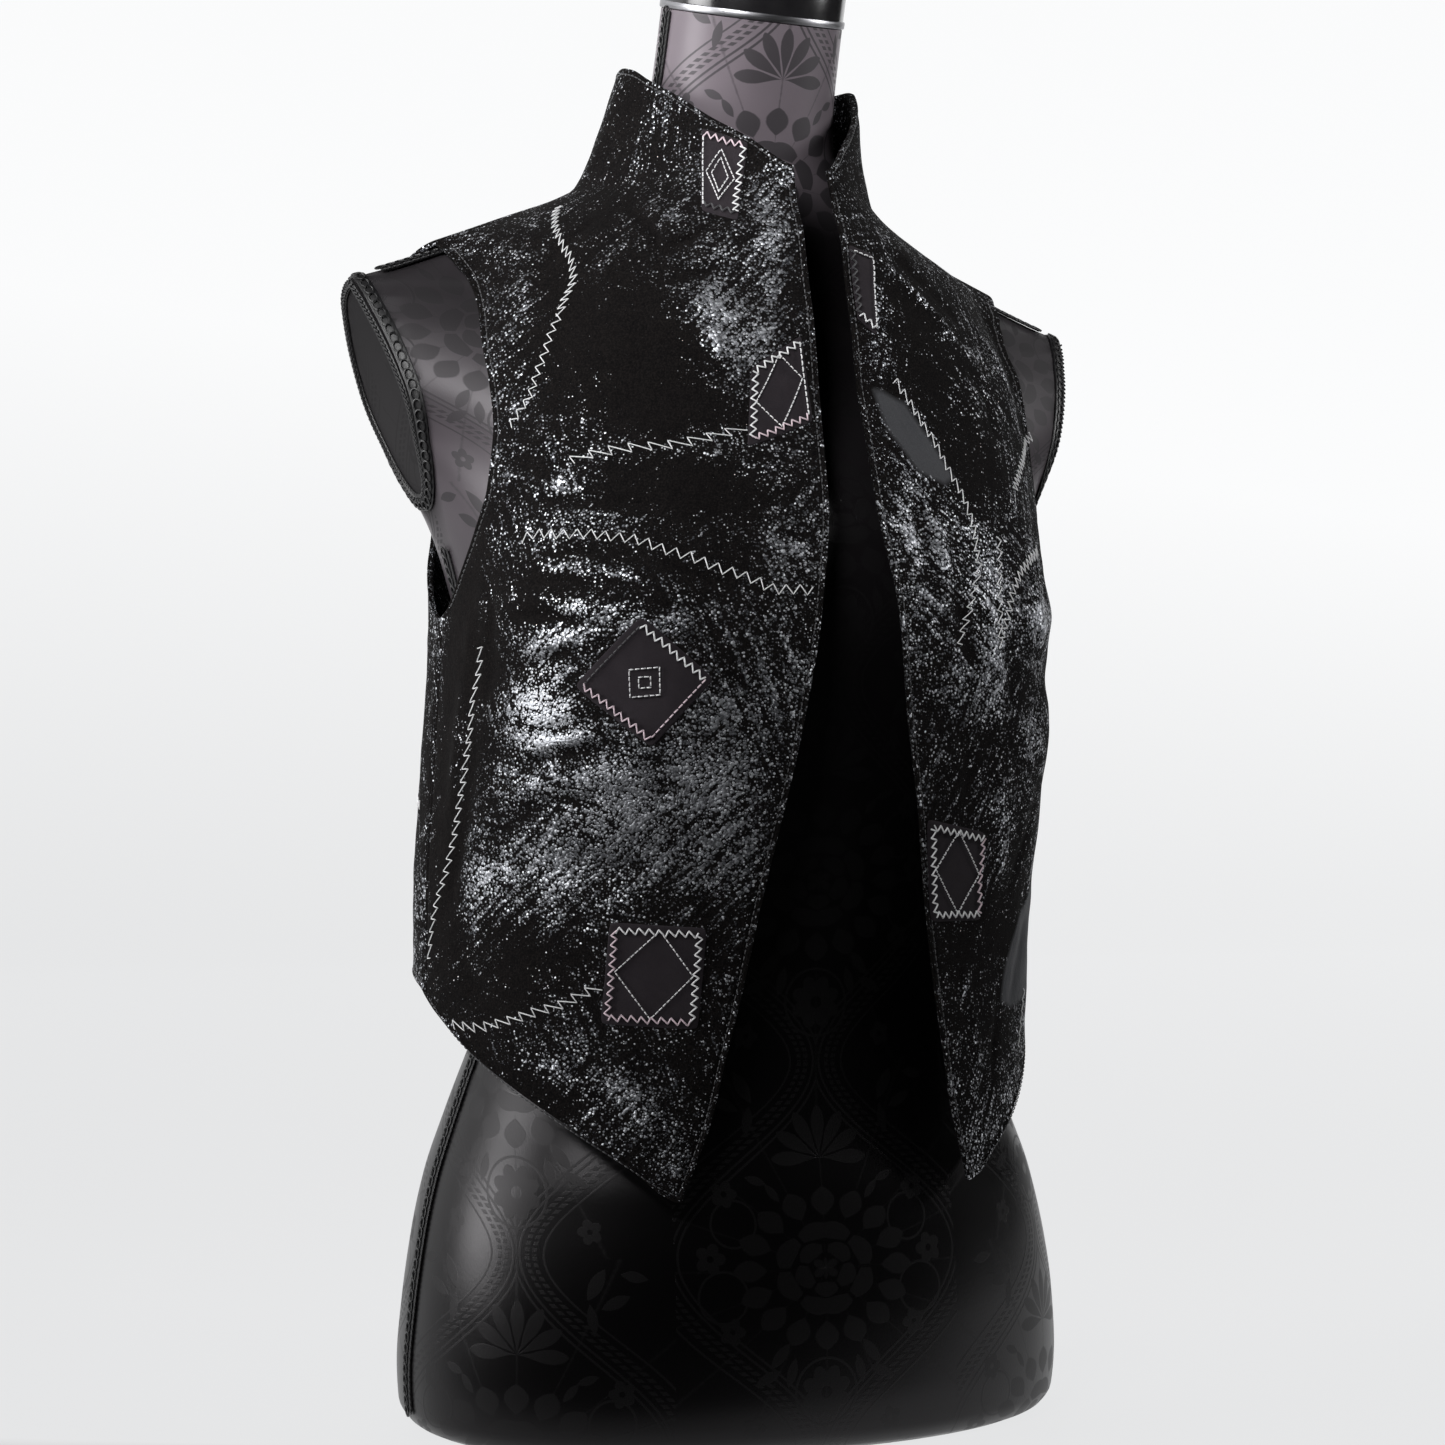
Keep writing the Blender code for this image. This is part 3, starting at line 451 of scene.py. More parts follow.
# A rose with three rounds of petals and a wreath of leaves
rose_x = x / 27.0
rose_y = (y - 98.0) / 22.0
rho = (rose_x * rose_x + rose_y * rose_y) ** 0.5
theta = rose_y.join("ARCTAN2", rose_x)
for inside, outside, petals, shift in ((0.0, 0.27, 5, 0.0), (0.36, 0.62, 5, 0.6), (0.70, 1.00, 7, 0.0)):
    lobe = abs((theta * (petals / 2) + shift).join("SINE"))
    petal = (lobe * 0.14 + outside - 0.14 - rho).over(0.0, 0.012)
    petal = petal.both((rho - inside + lobe * 0.07).over(0.0, 0.012)).both((lobe - 0.16).over(0.0, 0.05))
    motif = motif.either(petal)
ray_lobe = abs((theta * (16 / (2 * pi)) + 0.5).join("FRACT") - 0.5) * 2.0
ray_reach = ((rho - 1.12) / 0.62).join("ADD", 0.0, clamp=True)
motif = motif.either(((ray_reach * pi).join("SINE") ** 0.8 * 0.8 - ray_lobe).over(0.0, 0.1))

# Small blossoms, rings and leaves between them
motif = motif.either(blossom(0.0, 156.0, 13.0, 8)).either(ring(0.0, 156.0, 16.0, 1.2))
for cx, cy, radius in ((50.0, 62.0, 6.5), (58.0, 92.0, 7.5), (48.0, 126.0, 6.5), (36.0, 172.0, 6.0)):
    motif = motif.either(blossom(cx, cy, radius, 5, 0.34))
for cx, cy, radius in ((46.0, 76.0, 11.0), (52.0, 110.0, 12.0)):
    motif = motif.either(ring(cx, cy, radius, 1.1))
for place in ((24.0, 138.0, 40, 15, 5.5), (30.0, 148.0, 65, 14, 5.0), (18.0, 146.0, 15, 14, 5.0),
              (38.0, 12.0, 150, 17, 6.5), (47.0, 20.0, 115, 15, 5.5), (36.0, 28.0, 190, 14, 5.0),
              (56.0, 8.0, 80, 13, 5.0), (26.0, 62.0, 140, 11, 4.0), (34.0, 56.0, 110, 11, 4.0)):
    motif = motif.either(leaf(*place))

# Charcoal, lifted to a purplish grey up the neck and arms by painted light, and held near black lower down,
# inside the vest's opening, on the arm plates and on top of the arms by painted shade
fray = satin.cloudy(weave_place, 420.0, detail=3.0, rough=0.6)
shown = (motif * 0.86 + (fray - 0.5) * 0.5).over(0.38, 0.24)
worn = satin.cloudy(weave_place, 16.0, detail=3.0, rough=0.6)
across_form, _, up_form = satin.split(satin.place)
plate_line = PLATE_TOP_HALF_WIDTH - PLATE_TOP_HEIGHT * tan(PLATE_SLANT) - 0.0014
on_plate = (abs(across_form) - up_form * tan(PLATE_SLANT) - plate_line).over(0.0, 0.0014)
on_plate = on_plate * (up_form - 0.42).over(0.0, 0.004)
arm_top = (abs(across_form) - 0.10).over(0.0, 0.02) * (up_form - 0.510).over(0.0, 0.035)
painted_shade_in_opening = (0.085 - abs(across_form)).over(0.0, 0.015) * (0.605 - up_form).over(0.0, 0.015)
# Painted light, from none low down to full up the neck and arms, cut back as painted shade on the arm plates,
# on top of the arms and inside the vest's opening; where it is none the colour is near black
fade_and_painted_light = (up_form - 0.45).over(0.0, 0.23) * (on_plate * -0.95 + 1.0) * (arm_top * -0.75 + 1.0)
fade_and_painted_light = fade_and_painted_light * (painted_shade_in_opening * -0.85 + 1.0)
ground = satin.blend(worn * 0.5 + fade_and_painted_light * 0.5, (0.032, 0.032, 0.034), (0.19, 0.160, 0.182))
ground = satin.blend(fade_and_painted_light, (0.0012, 0.0010, 0.0012), ground)
figure = satin.blend(fade_and_painted_light, (0.0026, 0.0024, 0.0026), (0.048, 0.043, 0.048))
satin.feed(Base_Color=satin.blend(shown, ground, figure), IOR=1.36, Anisotropic=0.2,
           Roughness=shown * 0.12 + worn * 0.06 + on_plate * 0.48 + arm_top * 0.20 + 0.29,
           Specular_Tint=(1.0, 0.97, 1.0, 1.0))
threads = satin.cloudy(weave_place, 1500.0, detail=1.0, stretch=(1.0, 0.35, 1.0))
satin.bump(threads + shown * 0.8 + fray * 0.6, 0.000028)
stands_for(form, "dress_form", satin)

# Neck cap
# A turned wooden drum lacquered black, with a brushed metal band round its foot. It is pinned to the top of
# the neck and leans with it.

CAP_RADIUS = 0.0470
CAP_SEAT = 0.0003
CAP_SPOKES = 96

cap_foot = Matrix.Translation((0, float(SET_BACK(NECK_TOP)), NECK_TOP))
cap_seat = cap_foot @ Matrix.Rotation(NECK_TILT, 4, "X") @ Matrix.Translation((0, 0, CAP_SEAT))


def turned(name, profile, look):
    """A turned part of the cap from its profile, each row how far inside the full radius and how high."""
    turns_round = np.linspace(0, 2 * pi, CAP_SPOKES, endpoint=False)
    points = [((CAP_RADIUS - inset) * cos(t), (CAP_RADIUS - inset) * sin(t), height)
              for inset, height in profile for t in turns_round]
    item = mesh_of(name, points, ringed_faces(len(profile), CAP_SPOKES), smooth=radians(35))
    item.matrix_world = cap_seat
    stands_for(item, "neck_cap", look)


lacquer = Look("black_lacquer")
scuffs = lacquer.cloudy(lacquer.place, 90.0, detail=4.0, rough=0.6)
lacquer.feed(Base_Color=lacquer.blend(scuffs, (0.006, 0.006, 0.007), (0.016, 0.015, 0.016)),
             Roughness=scuffs * 0.16 + 0.12, Coat_Weight=0.5, Coat_Roughness=0.08)
lacquer.bump(scuffs, 0.00006)
turned("cap_drum", ((0.0009, 0.0037), (0.0009, 0.0170), (0.0012, 0.0184), (0.0021, 0.0198), (0.0036, 0.0207),
                    (0.0055, 0.0210), (0.0235, 0.0210), (0.0430, 0.0210)), lacquer)

metal = Look("brushed_band")
brushed = metal.cloudy(metal.place, 900.0, stretch=(0.08, 0.08, 1.0))
metal.feed(Base_Color=metal.blend(brushed, (0.16, 0.16, 0.17), (0.42, 0.42, 0.44)),
           Roughness=brushed * 0.2 + 0.24, Metallic=1.0)
metal.bump(brushed, 0.00005)
turned("cap_band", ((0.0006, 0.0), (0.0001, 0.0003), (0.0, 0.0008), (0.0, 0.0030), (0.0002, 0.0035),
                    (0.0007, 0.0037)), metal)

# Vest panels
# Two fronts, each cut in one with its half of the standing collar, and a back. They are black faux suede
# with a crackled silver foil rubbed into it, turned in at every open edge and topstitched, and butted at the
# seams.

CLOTH = 0.0024
SEAM_GAP = 0.0003
SHOULDER_LIFT = 0.0062
SHOULDER_SLOPE = radians(22)
HELD_BLEND = 0.003
VEST_DRIFT = 0.003
NECKLINE = 0.609
COLLAR_RISE = 0.052
BODY_TOP = 0.380
# Degrees where the front edge meets the hem, and the height where it meets the collar's top
HEM_CORNER = 36.0
COLLAR_CORNER = 0.614
# A turn in radians times this is a way over the cloth, in metres
WRAP = 0.15

# Rows of height, then the sizes and the roundness of the vest's own section there
VEST = read_table(SECTION, (
    (0.11, 0.156, 0.129, 0.121, 1.9, 1.9, 2.2), (0.16, 0.158, 0.132, 0.117, 1.9, 1.9, 2.2),
    (0.215, 0.16, 0.1334, 0.116, 1.9, 1.9, 2.2), (0.265, 0.16, 0.134, 0.111, 2, 2, 2.2),
    (0.31, 0.158, 0.138, 0.105, 2.3, 2.3, 2.2), (0.355, 0.1555, 0.1412, 0.0985, 2.6, 2.6, 2.2),
    (0.4, 0.1535, 0.1455, 0.0925, 2.6, 2.6, 2.3), (0.45, 0.156, 0.1385, 0.09, 2.3, 2.3, 2.3),
    (0.48, 0.159, 0.1315, 0.088, 2.1, 2.1, 2.2), (0.512, 0.159, 0.1245, 0.083, 2, 1.9, 2.1),
    (0.542, 0.156, 0.1225, 0.075, 2, 1.5, 1.8), (0.564, 0.153, 0.1195, 0.069, 1.9, 1.2, 1.4),
    (0.577, 0.148, 0.118, 0.064, 1.7, 1.15, 1.3), (0.588, 0.129, 0.114, 0.061, 1.55, 1.2, 1.4),
    (0.596, 0.11, 0.109, 0.06, 1.45, 1.3, 1.6), (0.604, 0.09, 0.1045, 0.06, 1.4, 1.4, 1.8),
    (0.611, 0.0795, 0.1005, 0.06, 1.4, 1.4, 2), (0.626, 0.0735, 0.0915, 0.059, 1.4, 1.4, 2),
    (0.645, 0.068, 0.079, 0.0585, 1.45, 1.45, 2), (0.68, 0.06, 0.067, 0.058, 1.5, 1.5, 2),
))

# Rows of height, then half the front opening's width
EDGE = read_table("half_gap", (
    (0.11, 0.08), (0.127, 0.0755), (0.162, 0.064), (0.19, 0.058), (0.222, 0.051), (0.265, 0.043),
    (0.306, 0.0355), (0.348, 0.0275), (0.375, 0.0235), (0.407, 0.0195), (0.451, 0.0128), (0.483, 0.0115),
    (0.513, 0.0102), (0.55, 0.01), (0.59, 0.0103), (0.62, 0.0095),
))["half_gap"]

# Rows of degrees from the front, then the hem's height on the wearer's right and left
HEM_ROWS = read_table("right left", (
    (0, 0.117, 0.121), (35, 0.1235, 0.128), (38, 0.126, 0.13), (44, 0.135, 0.138), (55, 0.151, 0.153),
    (66, 0.167, 0.171), (77, 0.185, 0.19), (86, 0.202, 0.206), (93, 0.213, 0.213), (104, 0.2175, 0.2175),
    (180, 0.219, 0.219),
))
HEM = {-1: HEM_ROWS["right"], 1: HEM_ROWS["left"], 0: HEM_ROWS["right"]}

# Rows of degrees, then the collar's height
COLLAR_TOP = read_table("height", (
    (0, 0.612), (7, 0.6165), (19, 0.63), (35, 0.641), (54, 0.653), (70, 0.661), (84, 0.668), (95, 0.67),
    (120, 0.669), (180, 0.667),
))["height"]

# Rows of height, then the degrees of the armhole's front and back edge
ARMHOLE = read_table("front back", (
    (0.392, 90, 90), (0.397, 86, 95), (0.413, 80, 101), (0.432, 74.5, 107), (0.455, 70.5, 111),
    (0.478, 69.5, 114), (0.506, 71.5, 115), (0.525, 74, 113), (0.542, 76.5, 109), (0.562, 81.5, 101),
    (0.572, 86, 95), (0.579, 90, 90),
))

# Folds and creases by side, -1 the wearer's right front, 1 the left and 0 the back: width and rise in
# millimetres (below zero for a trough), and the line it follows as degrees and height in millimetres. The
# back's degrees run from 90 at the wearer's right seam to 270 at the left one
CREASES = {
    -1: (
        (20, 2.2, ((75, 400), (52, 397), (30, 392))), (18, -2, ((80, 372), (55, 363), (35, 352))),
        (16, -1.8, ((40, 570), (26, 560), (15, 545))),
        (5, -2.2, ((57, 599), (48, 590), (41, 579), (40, 566))),
        (6, 1.4, ((50, 600), (42, 592), (34, 583))),
        (4.5, -1.8, ((40, 571), (33, 576), (28, 584), (25, 589))),
        (4, -1.2, ((38, 556.5), (31, 558), (26, 562))), (7.5, 1.3, ((39, 563), (30, 566), (22, 575))),
        (14, 1.8, ((32, 547), (27, 530), (24, 512))), (5, -1.3, ((34, 543), (29, 536), (22, 533))),
        (6, -1.2, ((66, 560), (62, 575), (59, 588))), (8, 1, ((70, 563), (67, 548), (66, 530))),
        (6, -1.4, ((68, 470), (60, 462), (54, 464))), (7, 1.2, ((67, 462), (58, 455), (48, 456))),
        (4.5, -1.4, ((60, 447), (48, 447.5), (36, 445))), (5, 1, ((60, 441), (46, 441), (34, 439))),
        (4.2, -1.5, ((58, 424), (46, 423.5), (34, 417), (25, 409))),
        (5.5, 1.1, ((58, 417), (48, 415.5), (38, 411))),
        (4.5, -1.4, ((62, 409), (52, 408), (40, 402), (30, 396))),
        (6, 1.2, ((66, 400), (56, 402), (46, 397))),
        (5, -1.4, ((66, 392), (56, 394), (48, 390), (42, 391))),
        (7.5, 1.8, ((62, 376), (54, 382), (46, 385))), (4.5, -1.3, ((66, 367), (58, 372), (50, 379))),
        (5.5, -1.4, ((60, 338), (54, 342), (47, 347), (42, 350))),
        (8, 1.3, ((62, 330), (54, 335), (46, 340))),
        (5, -1.3, ((64, 318), (56, 329), (49, 333), (42, 331))),
        (10, 1.2, ((68, 306), (58, 315), (48, 320), (38, 318))),
        (5.5, -1, ((72, 286), (63, 298), (55, 308.5), (47, 309))),
        (6, -1.2, ((40, 333), (37, 322), (36, 309))), (5, -1, ((26, 372), (22, 362), (24, 351))),
        (7, -1.6, ((71, 420), (69, 398), (70, 372), (71, 345))),
        (10, 1.6, ((76, 398), (77, 370), (79, 330), (82, 290))),
        (8, -1.2, ((73, 340), (75, 310), (79, 275), (83, 245))), (10, 1, ((60, 270), (50, 262), (40, 262))),
        (6, -0.9, ((56, 283), (48, 277), (38, 280))), (10, -1.2, ((80, 232), (74, 214), (66, 202))),
        (9, 1.2, ((46, 190), (42, 170), (39, 150))), (6, -1, ((56, 188), (50, 176), (46, 160))),
        (6, 0.9, ((36, 160), (35, 143), (35, 131))),
    ),
    1: (
        (20, 2.2, ((75, 405), (52, 400), (30, 395))), (18, -2, ((80, 378), (56, 369), (35, 360))),
        (6, 2.2, ((15, 576.5), (24, 566), (30, 558), (36, 549), (40, 540))),
        (7, -1.6, ((19, 584), (30, 573), (40, 560), (48, 545))),
        (8, -1.4, ((16, 562), (24, 552), (30, 541))), (8, 1.4, ((52, 556), (58, 540), (62, 520))),
        (7, -1.2, ((40, 530), (46, 512), (44, 492))), (9, 1.2, ((32, 520), (38, 505), (38, 486))),
        (6, -1, ((12, 520), (15, 500), (19, 480))), (7, -1.6, ((14, 458), (15, 436), (14, 412))),
        (6, 1.4, ((18, 452), (19, 430), (18, 405))), (6, -1.4, ((20, 420), (21, 400), (24, 376))),
        (7, 1.2, ((28, 410), (30, 388), (32, 364))), (6, -1.2, ((36, 398), (34, 378), (38, 352))),
        (8, 1.2, ((45, 430), (44, 405), (46, 380))), (6, -1, ((60, 440), (54, 425), (50, 405))),
        (8, -1.2, ((22, 350), (26, 326), (27, 304))), (9, 1, ((34, 330), (38, 300), (42, 270))),
        (8, -1, ((52, 320), (50, 290), (46, 262))), (10, -1, ((64, 262), (56, 235), (50, 205))),
        (7, 0.9, ((30, 236), (34, 210), (37, 180))), (6, -0.8, ((44, 225), (44, 200), (42, 170))),
    ),
    0: (
        (14, -2.2, ((104, 398), (128, 386), (150, 378))), (10, 1.8, ((100, 384), (120, 372), (146, 366))),
        (12, -1.6, ((212, 372), (236, 382), (258, 396))), (9, 1.6, ((206, 358), (230, 366), (262, 382))),
        (10, -1.6, ((152, 348), (176, 338), (204, 346))), (12, 1.4, ((140, 330), (168, 322), (210, 330))),
        (12, -1.3, ((112, 560), (134, 546), (160, 540))), (12, 1.2, ((196, 545), (226, 552), (250, 562))),
        (16, -1.3, ((172, 300), (176, 262), (170, 228))), (18, 1.2, ((146, 290), (140, 255), (142, 225))),
        (16, 1.2, ((214, 292), (222, 258), (220, 226))), (10, -1.2, ((122, 480), (140, 470), (160, 474))),
        (10, -1.2, ((204, 486), (224, 476), (240, 484))),
    ),
}

# Where the foil lies thick (above zero), its silver also brightened there as a painted highlight, or is
# rubbed away to bare suede (below zero), by side: degrees, height, half width and half height in millimetres,
# and how much
FOIL_AND_HIGHLIGHT_AREAS = {
    -1: (
        (30, 555, 18, 20, 0.55), (22, 535, 22, 30, 0.55), (14, 560, 12, 50, 0.35), (11, 590, 14, 30, 0.25),
        (58, 468, 30, 16, 0.1), (66, 450, 16, 40, 0.08), (50, 446, 30, 8, 0.12), (46, 434, 30, 6, 0.15),
        (14, 432, 18, 22, 0.4), (56, 377, 20, 12, 0.45), (56, 402, 34, 10, -0.6), (60, 366, 20, 10, 0.5),
        (50, 412, 30, 12, 0.02), (28, 392, 30, 12, 0.3), (20, 360, 24, 22, 0.25), (57, 350, 26, 18, 0.6),
        (52, 310, 40, 30, 0.48), (56, 345, 34, 14, 0.3), (30, 340, 30, 30, 0.25), (74, 258, 18, 34, 0.4),
        (70, 300, 20, 40, 0.3), (16, 360, 12, 70, 0.12), (34, 300, 36, 36, 0.4), (62, 270, 26, 20, 0.3),
        (40, 276, 40, 12, 0.2), (24, 300, 12, 60, 0.2), (42, 168, 22, 16, 0.5), (37, 140, 12, 14, 0.5),
        (56, 190, 30, 18, 0.2), (60, 545, 18, 40, -0.3), (42, 520, 36, 30, -0.85), (34, 492, 30, 14, -0.8),
        (70, 545, 14, 22, 0.2), (66, 500, 12, 30, 0.25), (30, 455, 40, 14, -0.85), (78, 390, 14, 50, -0.85),
        (82, 330, 12, 60, -0.7), (84, 250, 18, 36, -0.55), (60, 395, 16, 6, -0.5), (36, 425, 14, 8, -0.2),
        (66, 230, 16, 24, -0.55), (52, 222, 16, 20, -0.1), (48, 268, 20, 8, -0.25), (36, 195, 40, 12, -0.1),
        (60, 165, 30, 12, -0.45), (62, 600, 40, 24, -0.4), (44, 606, 18, 20, -0.05),
        (84, 560, 12, 50, -0.25), (80, 640, 30, 30, -0.45),
    ),
    1: (
        (12, 545, 14, 30, 0.15), (30, 555, 30, 16, -0.35), (26, 530, 22, 20, -0.45),
        (44, 510, 26, 26, -0.15), (36, 480, 26, 20, -0.5), (12, 480, 10, 60, 0.2), (14, 440, 12, 40, 0.35),
        (20, 425, 12, 22, 0.3), (34, 420, 22, 26, 0.35), (26, 370, 26, 26, 0.45), (46, 375, 20, 36, 0.4),
        (18, 330, 14, 40, 0.1), (44, 330, 20, 30, 0.05), (30, 235, 40, 20, -0.15), (50, 250, 20, 40, -0.4),
        (38, 180, 20, 30, -0.05), (75, 330, 20, 60, -0.55),
    ),
    0: (),
}

# Petals of smooth leather instead of suede, on the wearer's left front: outlines as degrees and height
PETALS = (
    ((9.2, 0.5067), (11.4, 0.4884), (17, 0.4703), (22.9, 0.4659), (25.3, 0.4695), (21.4, 0.4866),
     (16.7, 0.5024), (10.6, 0.5067)),
    ((66.7, 0.268), (54.7, 0.2525), (47.6, 0.231), (46.2, 0.212), (52, 0.208), (68.9, 0.214)),
)
PETAL_WRAP = 0.13

# How far the cloth stands in and out of true by itself, over a broad and a fine scale
BROAD_WAVE = 0.0011
FINE_WAVE = 0.00045
# The roll of a turned edge, and the groove that its stitching draws in: how high, and how far inside the edge
ROLL_RISE = 0.00035
ROLL_INSET = 0.0011
GROOVE_DEPTH = 0.00040
STITCH_INSET = 0.0027
# The least room under a panel's outer face, over the form: its wall and the braid
LEAST_ROOM = CLOTH + 0.0030


def vest_radius(side, angle, height):
    """The vest's outer face: its own cut, held off the form by the wall and the braid below it."""
    own = section_radius(VEST, angle, height, -side * VEST_DRIFT)
    held = np.maximum(form_radius(angle, height) + SHOULDER_LIFT,
                      form_radius(angle, height - SHOULDER_LIFT / cos(SHOULDER_SLOPE)))
    return 0.5 * (own + held + np.sqrt((own - held) ** 2 + HELD_BLEND ** 2))


def edge_angle(side, height):
    """Angle of the front edge at a height: where the outer face is half the opening from the middle."""
    angle = radians(10) + 0.0 * height
    for _ in range(8):
        angle = np.arcsin(EDGE(height) / vest_radius(side, angle, height))
    return angle


def panel_points(side, degrees, height, relief=0.0):
    """Points of a panel's outer face, drawn back a little at its seams."""
    own = side if side else np.where(degrees < 180, -1, 1)
    turn = np.radians(np.minimum(degrees, 360 - degrees))
    radius = vest_radius(own, turn, height) + relief
    at_seam = (np.abs(degrees - 90) < 0.01) | (degrees > 179.99) if side else turn < radians(90.01)
    turn = np.where(at_seam, turn - (1 if side else -1) * SEAM_GAP / 2 / radius, turn)
    return placed(radius, own, turn, height)


def crease_relief(side, degrees, height):
    """Height of the folds and creases over the plain surface, drawn a little uneven along their length."""
    relief = 0.0 * degrees
    across = np.radians(degrees) * WRAP
    for width, rise, line in CREASES[side]:
        width = width / 1000
        rise = rise / 1000
        spots = np.array([(radians(d) * WRAP, h / 1000) for d, h in line])
        lengths = travelled(spots)
        nearest = np.full(np.shape(degrees), 9.0)
        gone = 0.0 * degrees
        for i, run in enumerate(np.diff(spots, axis=0)):
            passed = (across - spots[i, 0]) * run[0] + (height - spots[i, 1]) * run[1]
            share = np.clip(passed / (run @ run), 0, 1)
            off = np.hypot(across - spots[i, 0] - share * run[0], height - spots[i, 1] - share * run[1])
            so_far = (lengths[i] + share * (lengths[i + 1] - lengths[i])) / lengths[-1]
            gone = np.where(off < nearest, so_far, gone)
            nearest = np.minimum(nearest, off)
        wave = 1 + 0.25 * np.sin(9 * gone + 40 * rise / width + 200 * width)
        relief = relief + rise * wave * (1 - (2 * gone - 1) ** 4) * np.exp(-(1.9 * nearest / width) ** 2)
    return relief


def petal_depth(side, degrees, height):
    """How far inside a petal each place is, in metres; below zero outside them all."""
    deepest = np.full(np.shape(degrees), -1.0)
    for outline in PETALS if side == 1 else ():
        corners = np.array(outline)
        middle = corners.mean(axis=0)
        inside = np.full(np.shape(degrees), 1.0)
        for (d0, h0), (d1, h1) in zip(corners, np.roll(corners, -1, axis=0)):
            run = np.array([np.radians(d1 - d0) * PETAL_WRAP, h1 - h0])
            across = np.array([-run[1], run[0]]) / np.linalg.norm(run)
            if across @ np.array([np.radians(middle[0] - d0) * PETAL_WRAP, middle[1] - h0]) < 0:
                across = -across
            off = np.radians(degrees - d0) * PETAL_WRAP * across[0] + (height - h0) * across[1]
            inside = np.minimum(inside, off)
        deepest = np.maximum(deepest, inside)
    return deepest


def foil_and_highlight_amount(side, degrees, height):
    amount = 0.0 * degrees
    for centre_degrees, centre_height, half_width, half_height, more in FOIL_AND_HIGHLIGHT_AREAS[side]:
        across = np.radians(degrees - centre_degrees) * WRAP / (half_width / 1000)
        up = (height - centre_height / 1000) / (half_height / 1000)
        amount = amount + more * np.exp(-0.9 * (across ** 2 + up ** 2) ** 1.3)
    return np.clip(amount, -1, 1)


# Distances from an open edge at which a panel has rows or columns, and the usual spacing farther in
EDGE_STEPS = np.array((0.0, 0.0007, 0.0014, 0.0021, 0.0028, 0.0036, 0.0048, 0.0064))
CELL = 0.0020


def spaced_shares(points, gap):
    """Shares along each row of points: at the edge steps from both ends, and evenly between them."""
    shares = np.linspace(0, 1, points.shape[1])
    rows = [travelled(row) for row in points]
    inner = int(round((max(row[-1] for row in rows) - 2 * EDGE_STEPS[-1]) / gap))
    result = []
    for row in rows:
        low = EDGE_STEPS * min(1.0, row[-1] / (4 * EDGE_STEPS[-1]))
        between = np.linspace(low[-1], row[-1] - low[-1], inner + 1)[1:-1]
        result.append(np.interp(np.concatenate([low, between, (row[-1] - low)[::-1]]), row, shares))
    return np.array(result)


def ups_of(length, count):
    """Shares of the way up a panel's body of a length, with the edge steps first."""
    steps = EDGE_STEPS / length
    return np.concatenate([steps, np.linspace(steps[-1], 1, count)[1:-1]])


def heights_of(step, top):
    """Heights of the rows beside the armhole, closer together where its edge turns in."""
    return runs_of((BODY_TOP, 0.392, 0.0024), (0.392, 0.3932, 0.0003), (0.3932, 0.397, 0.0008),
                   (0.397, 0.56, step), (0.56, 0.572, 0.0017), (0.572, 0.5802, 0.0009), (0.5802, top, 0.0022))


def front_places(side):
    """Degrees and heights of a front panel's points, in rows from the hem up to the collar's long ones."""
    ups = ups_of(0.235, 96)
    heights = heights_of(0.0022, 0.6075)
    collar_steps = EDGE_STEPS / COLLAR_RISE
    collar_ups = np.concatenate([np.linspace(0, 1 - collar_steps[-1], 22)[:-1], (1 - collar_steps)[::-1]])
    levels_up = np.concatenate([ups, heights, collar_ups])[:, None]
    part = np.repeat((0, 1, 2), (len(ups), len(heights), len(collar_ups)))

    def between(start, height, share):
        edge = np.degrees(edge_angle(side, height))
        return start + (edge - start) * (1 - share), height

    def body(share, up):
        hem = HEM[side](between(90, HEM[side](HEM_CORNER), share)[0])
        return between(90, hem * (1 - up) + BODY_TOP * up, share)

    def upper(share, height):
        return between(ARMHOLE["front"](height), height, share)

    def collar(share, up):
        top = COLLAR_TOP(between(90, COLLAR_CORNER, share)[0])
        return between(90, NECKLINE * (1 - up) + top * up, share)

    def at(shares):
        rows = [rule(shares[part == k], levels_up[part == k] + 0 * shares[part == k])
                for k, rule in enumerate((body, upper, collar))]
        return [np.concatenate(grids) for grids in zip(*rows)]

    degrees, height = at(np.linspace(0, 1, 49) + 0 * levels_up)
    plain = placed(vest_radius(side, np.radians(degrees), height), side, np.radians(degrees), height)
    degrees, height = at(spaced_shares(plain, CELL))
    wrap = np.concatenate([np.linspace(90, 180, 46)[1:-4], 180 - np.array([3.2, 2.1, 1.3, 0.6, 0.0])])
    wrap_degrees = np.full((len(part), len(wrap)), np.nan)
    wrap_height = wrap_degrees.copy()
    wrap_degrees[part == 2] = wrap
    wrap_height[part == 2] = NECKLINE * (1 - collar_ups[:, None]) + COLLAR_TOP(wrap) * collar_ups[:, None]
    return np.hstack([degrees, wrap_degrees]), np.hstack([height, wrap_height])


def back_places():
    """Degrees and heights of the back panel's rows, from the wearer's right seam round to the left one."""
    ups = ups_of(0.17, 66)
    heights = heights_of(0.0024, NECKLINE - SEAM_GAP)
    levels_up = np.concatenate([ups, heights])[:, None]
    below = np.arange(len(levels_up))[:, None] < len(ups)

    def at(shares):
        turn = 2 * shares - 1
        seam = np.where(below, 90.0, ARMHOLE["back"](levels_up))
        degrees = 180 - (180 - seam) * np.abs(turn)
        hem = HEM[0](degrees)
        height = np.where(below, hem * (1 - levels_up) + BODY_TOP * levels_up, levels_up)
        return np.where(turn < 0, degrees, 360 - degrees), height

    return at(spaced_shares(panel_points(0, *at(np.linspace(0, 1, 81) + 0 * levels_up)), CELL * 1.15))


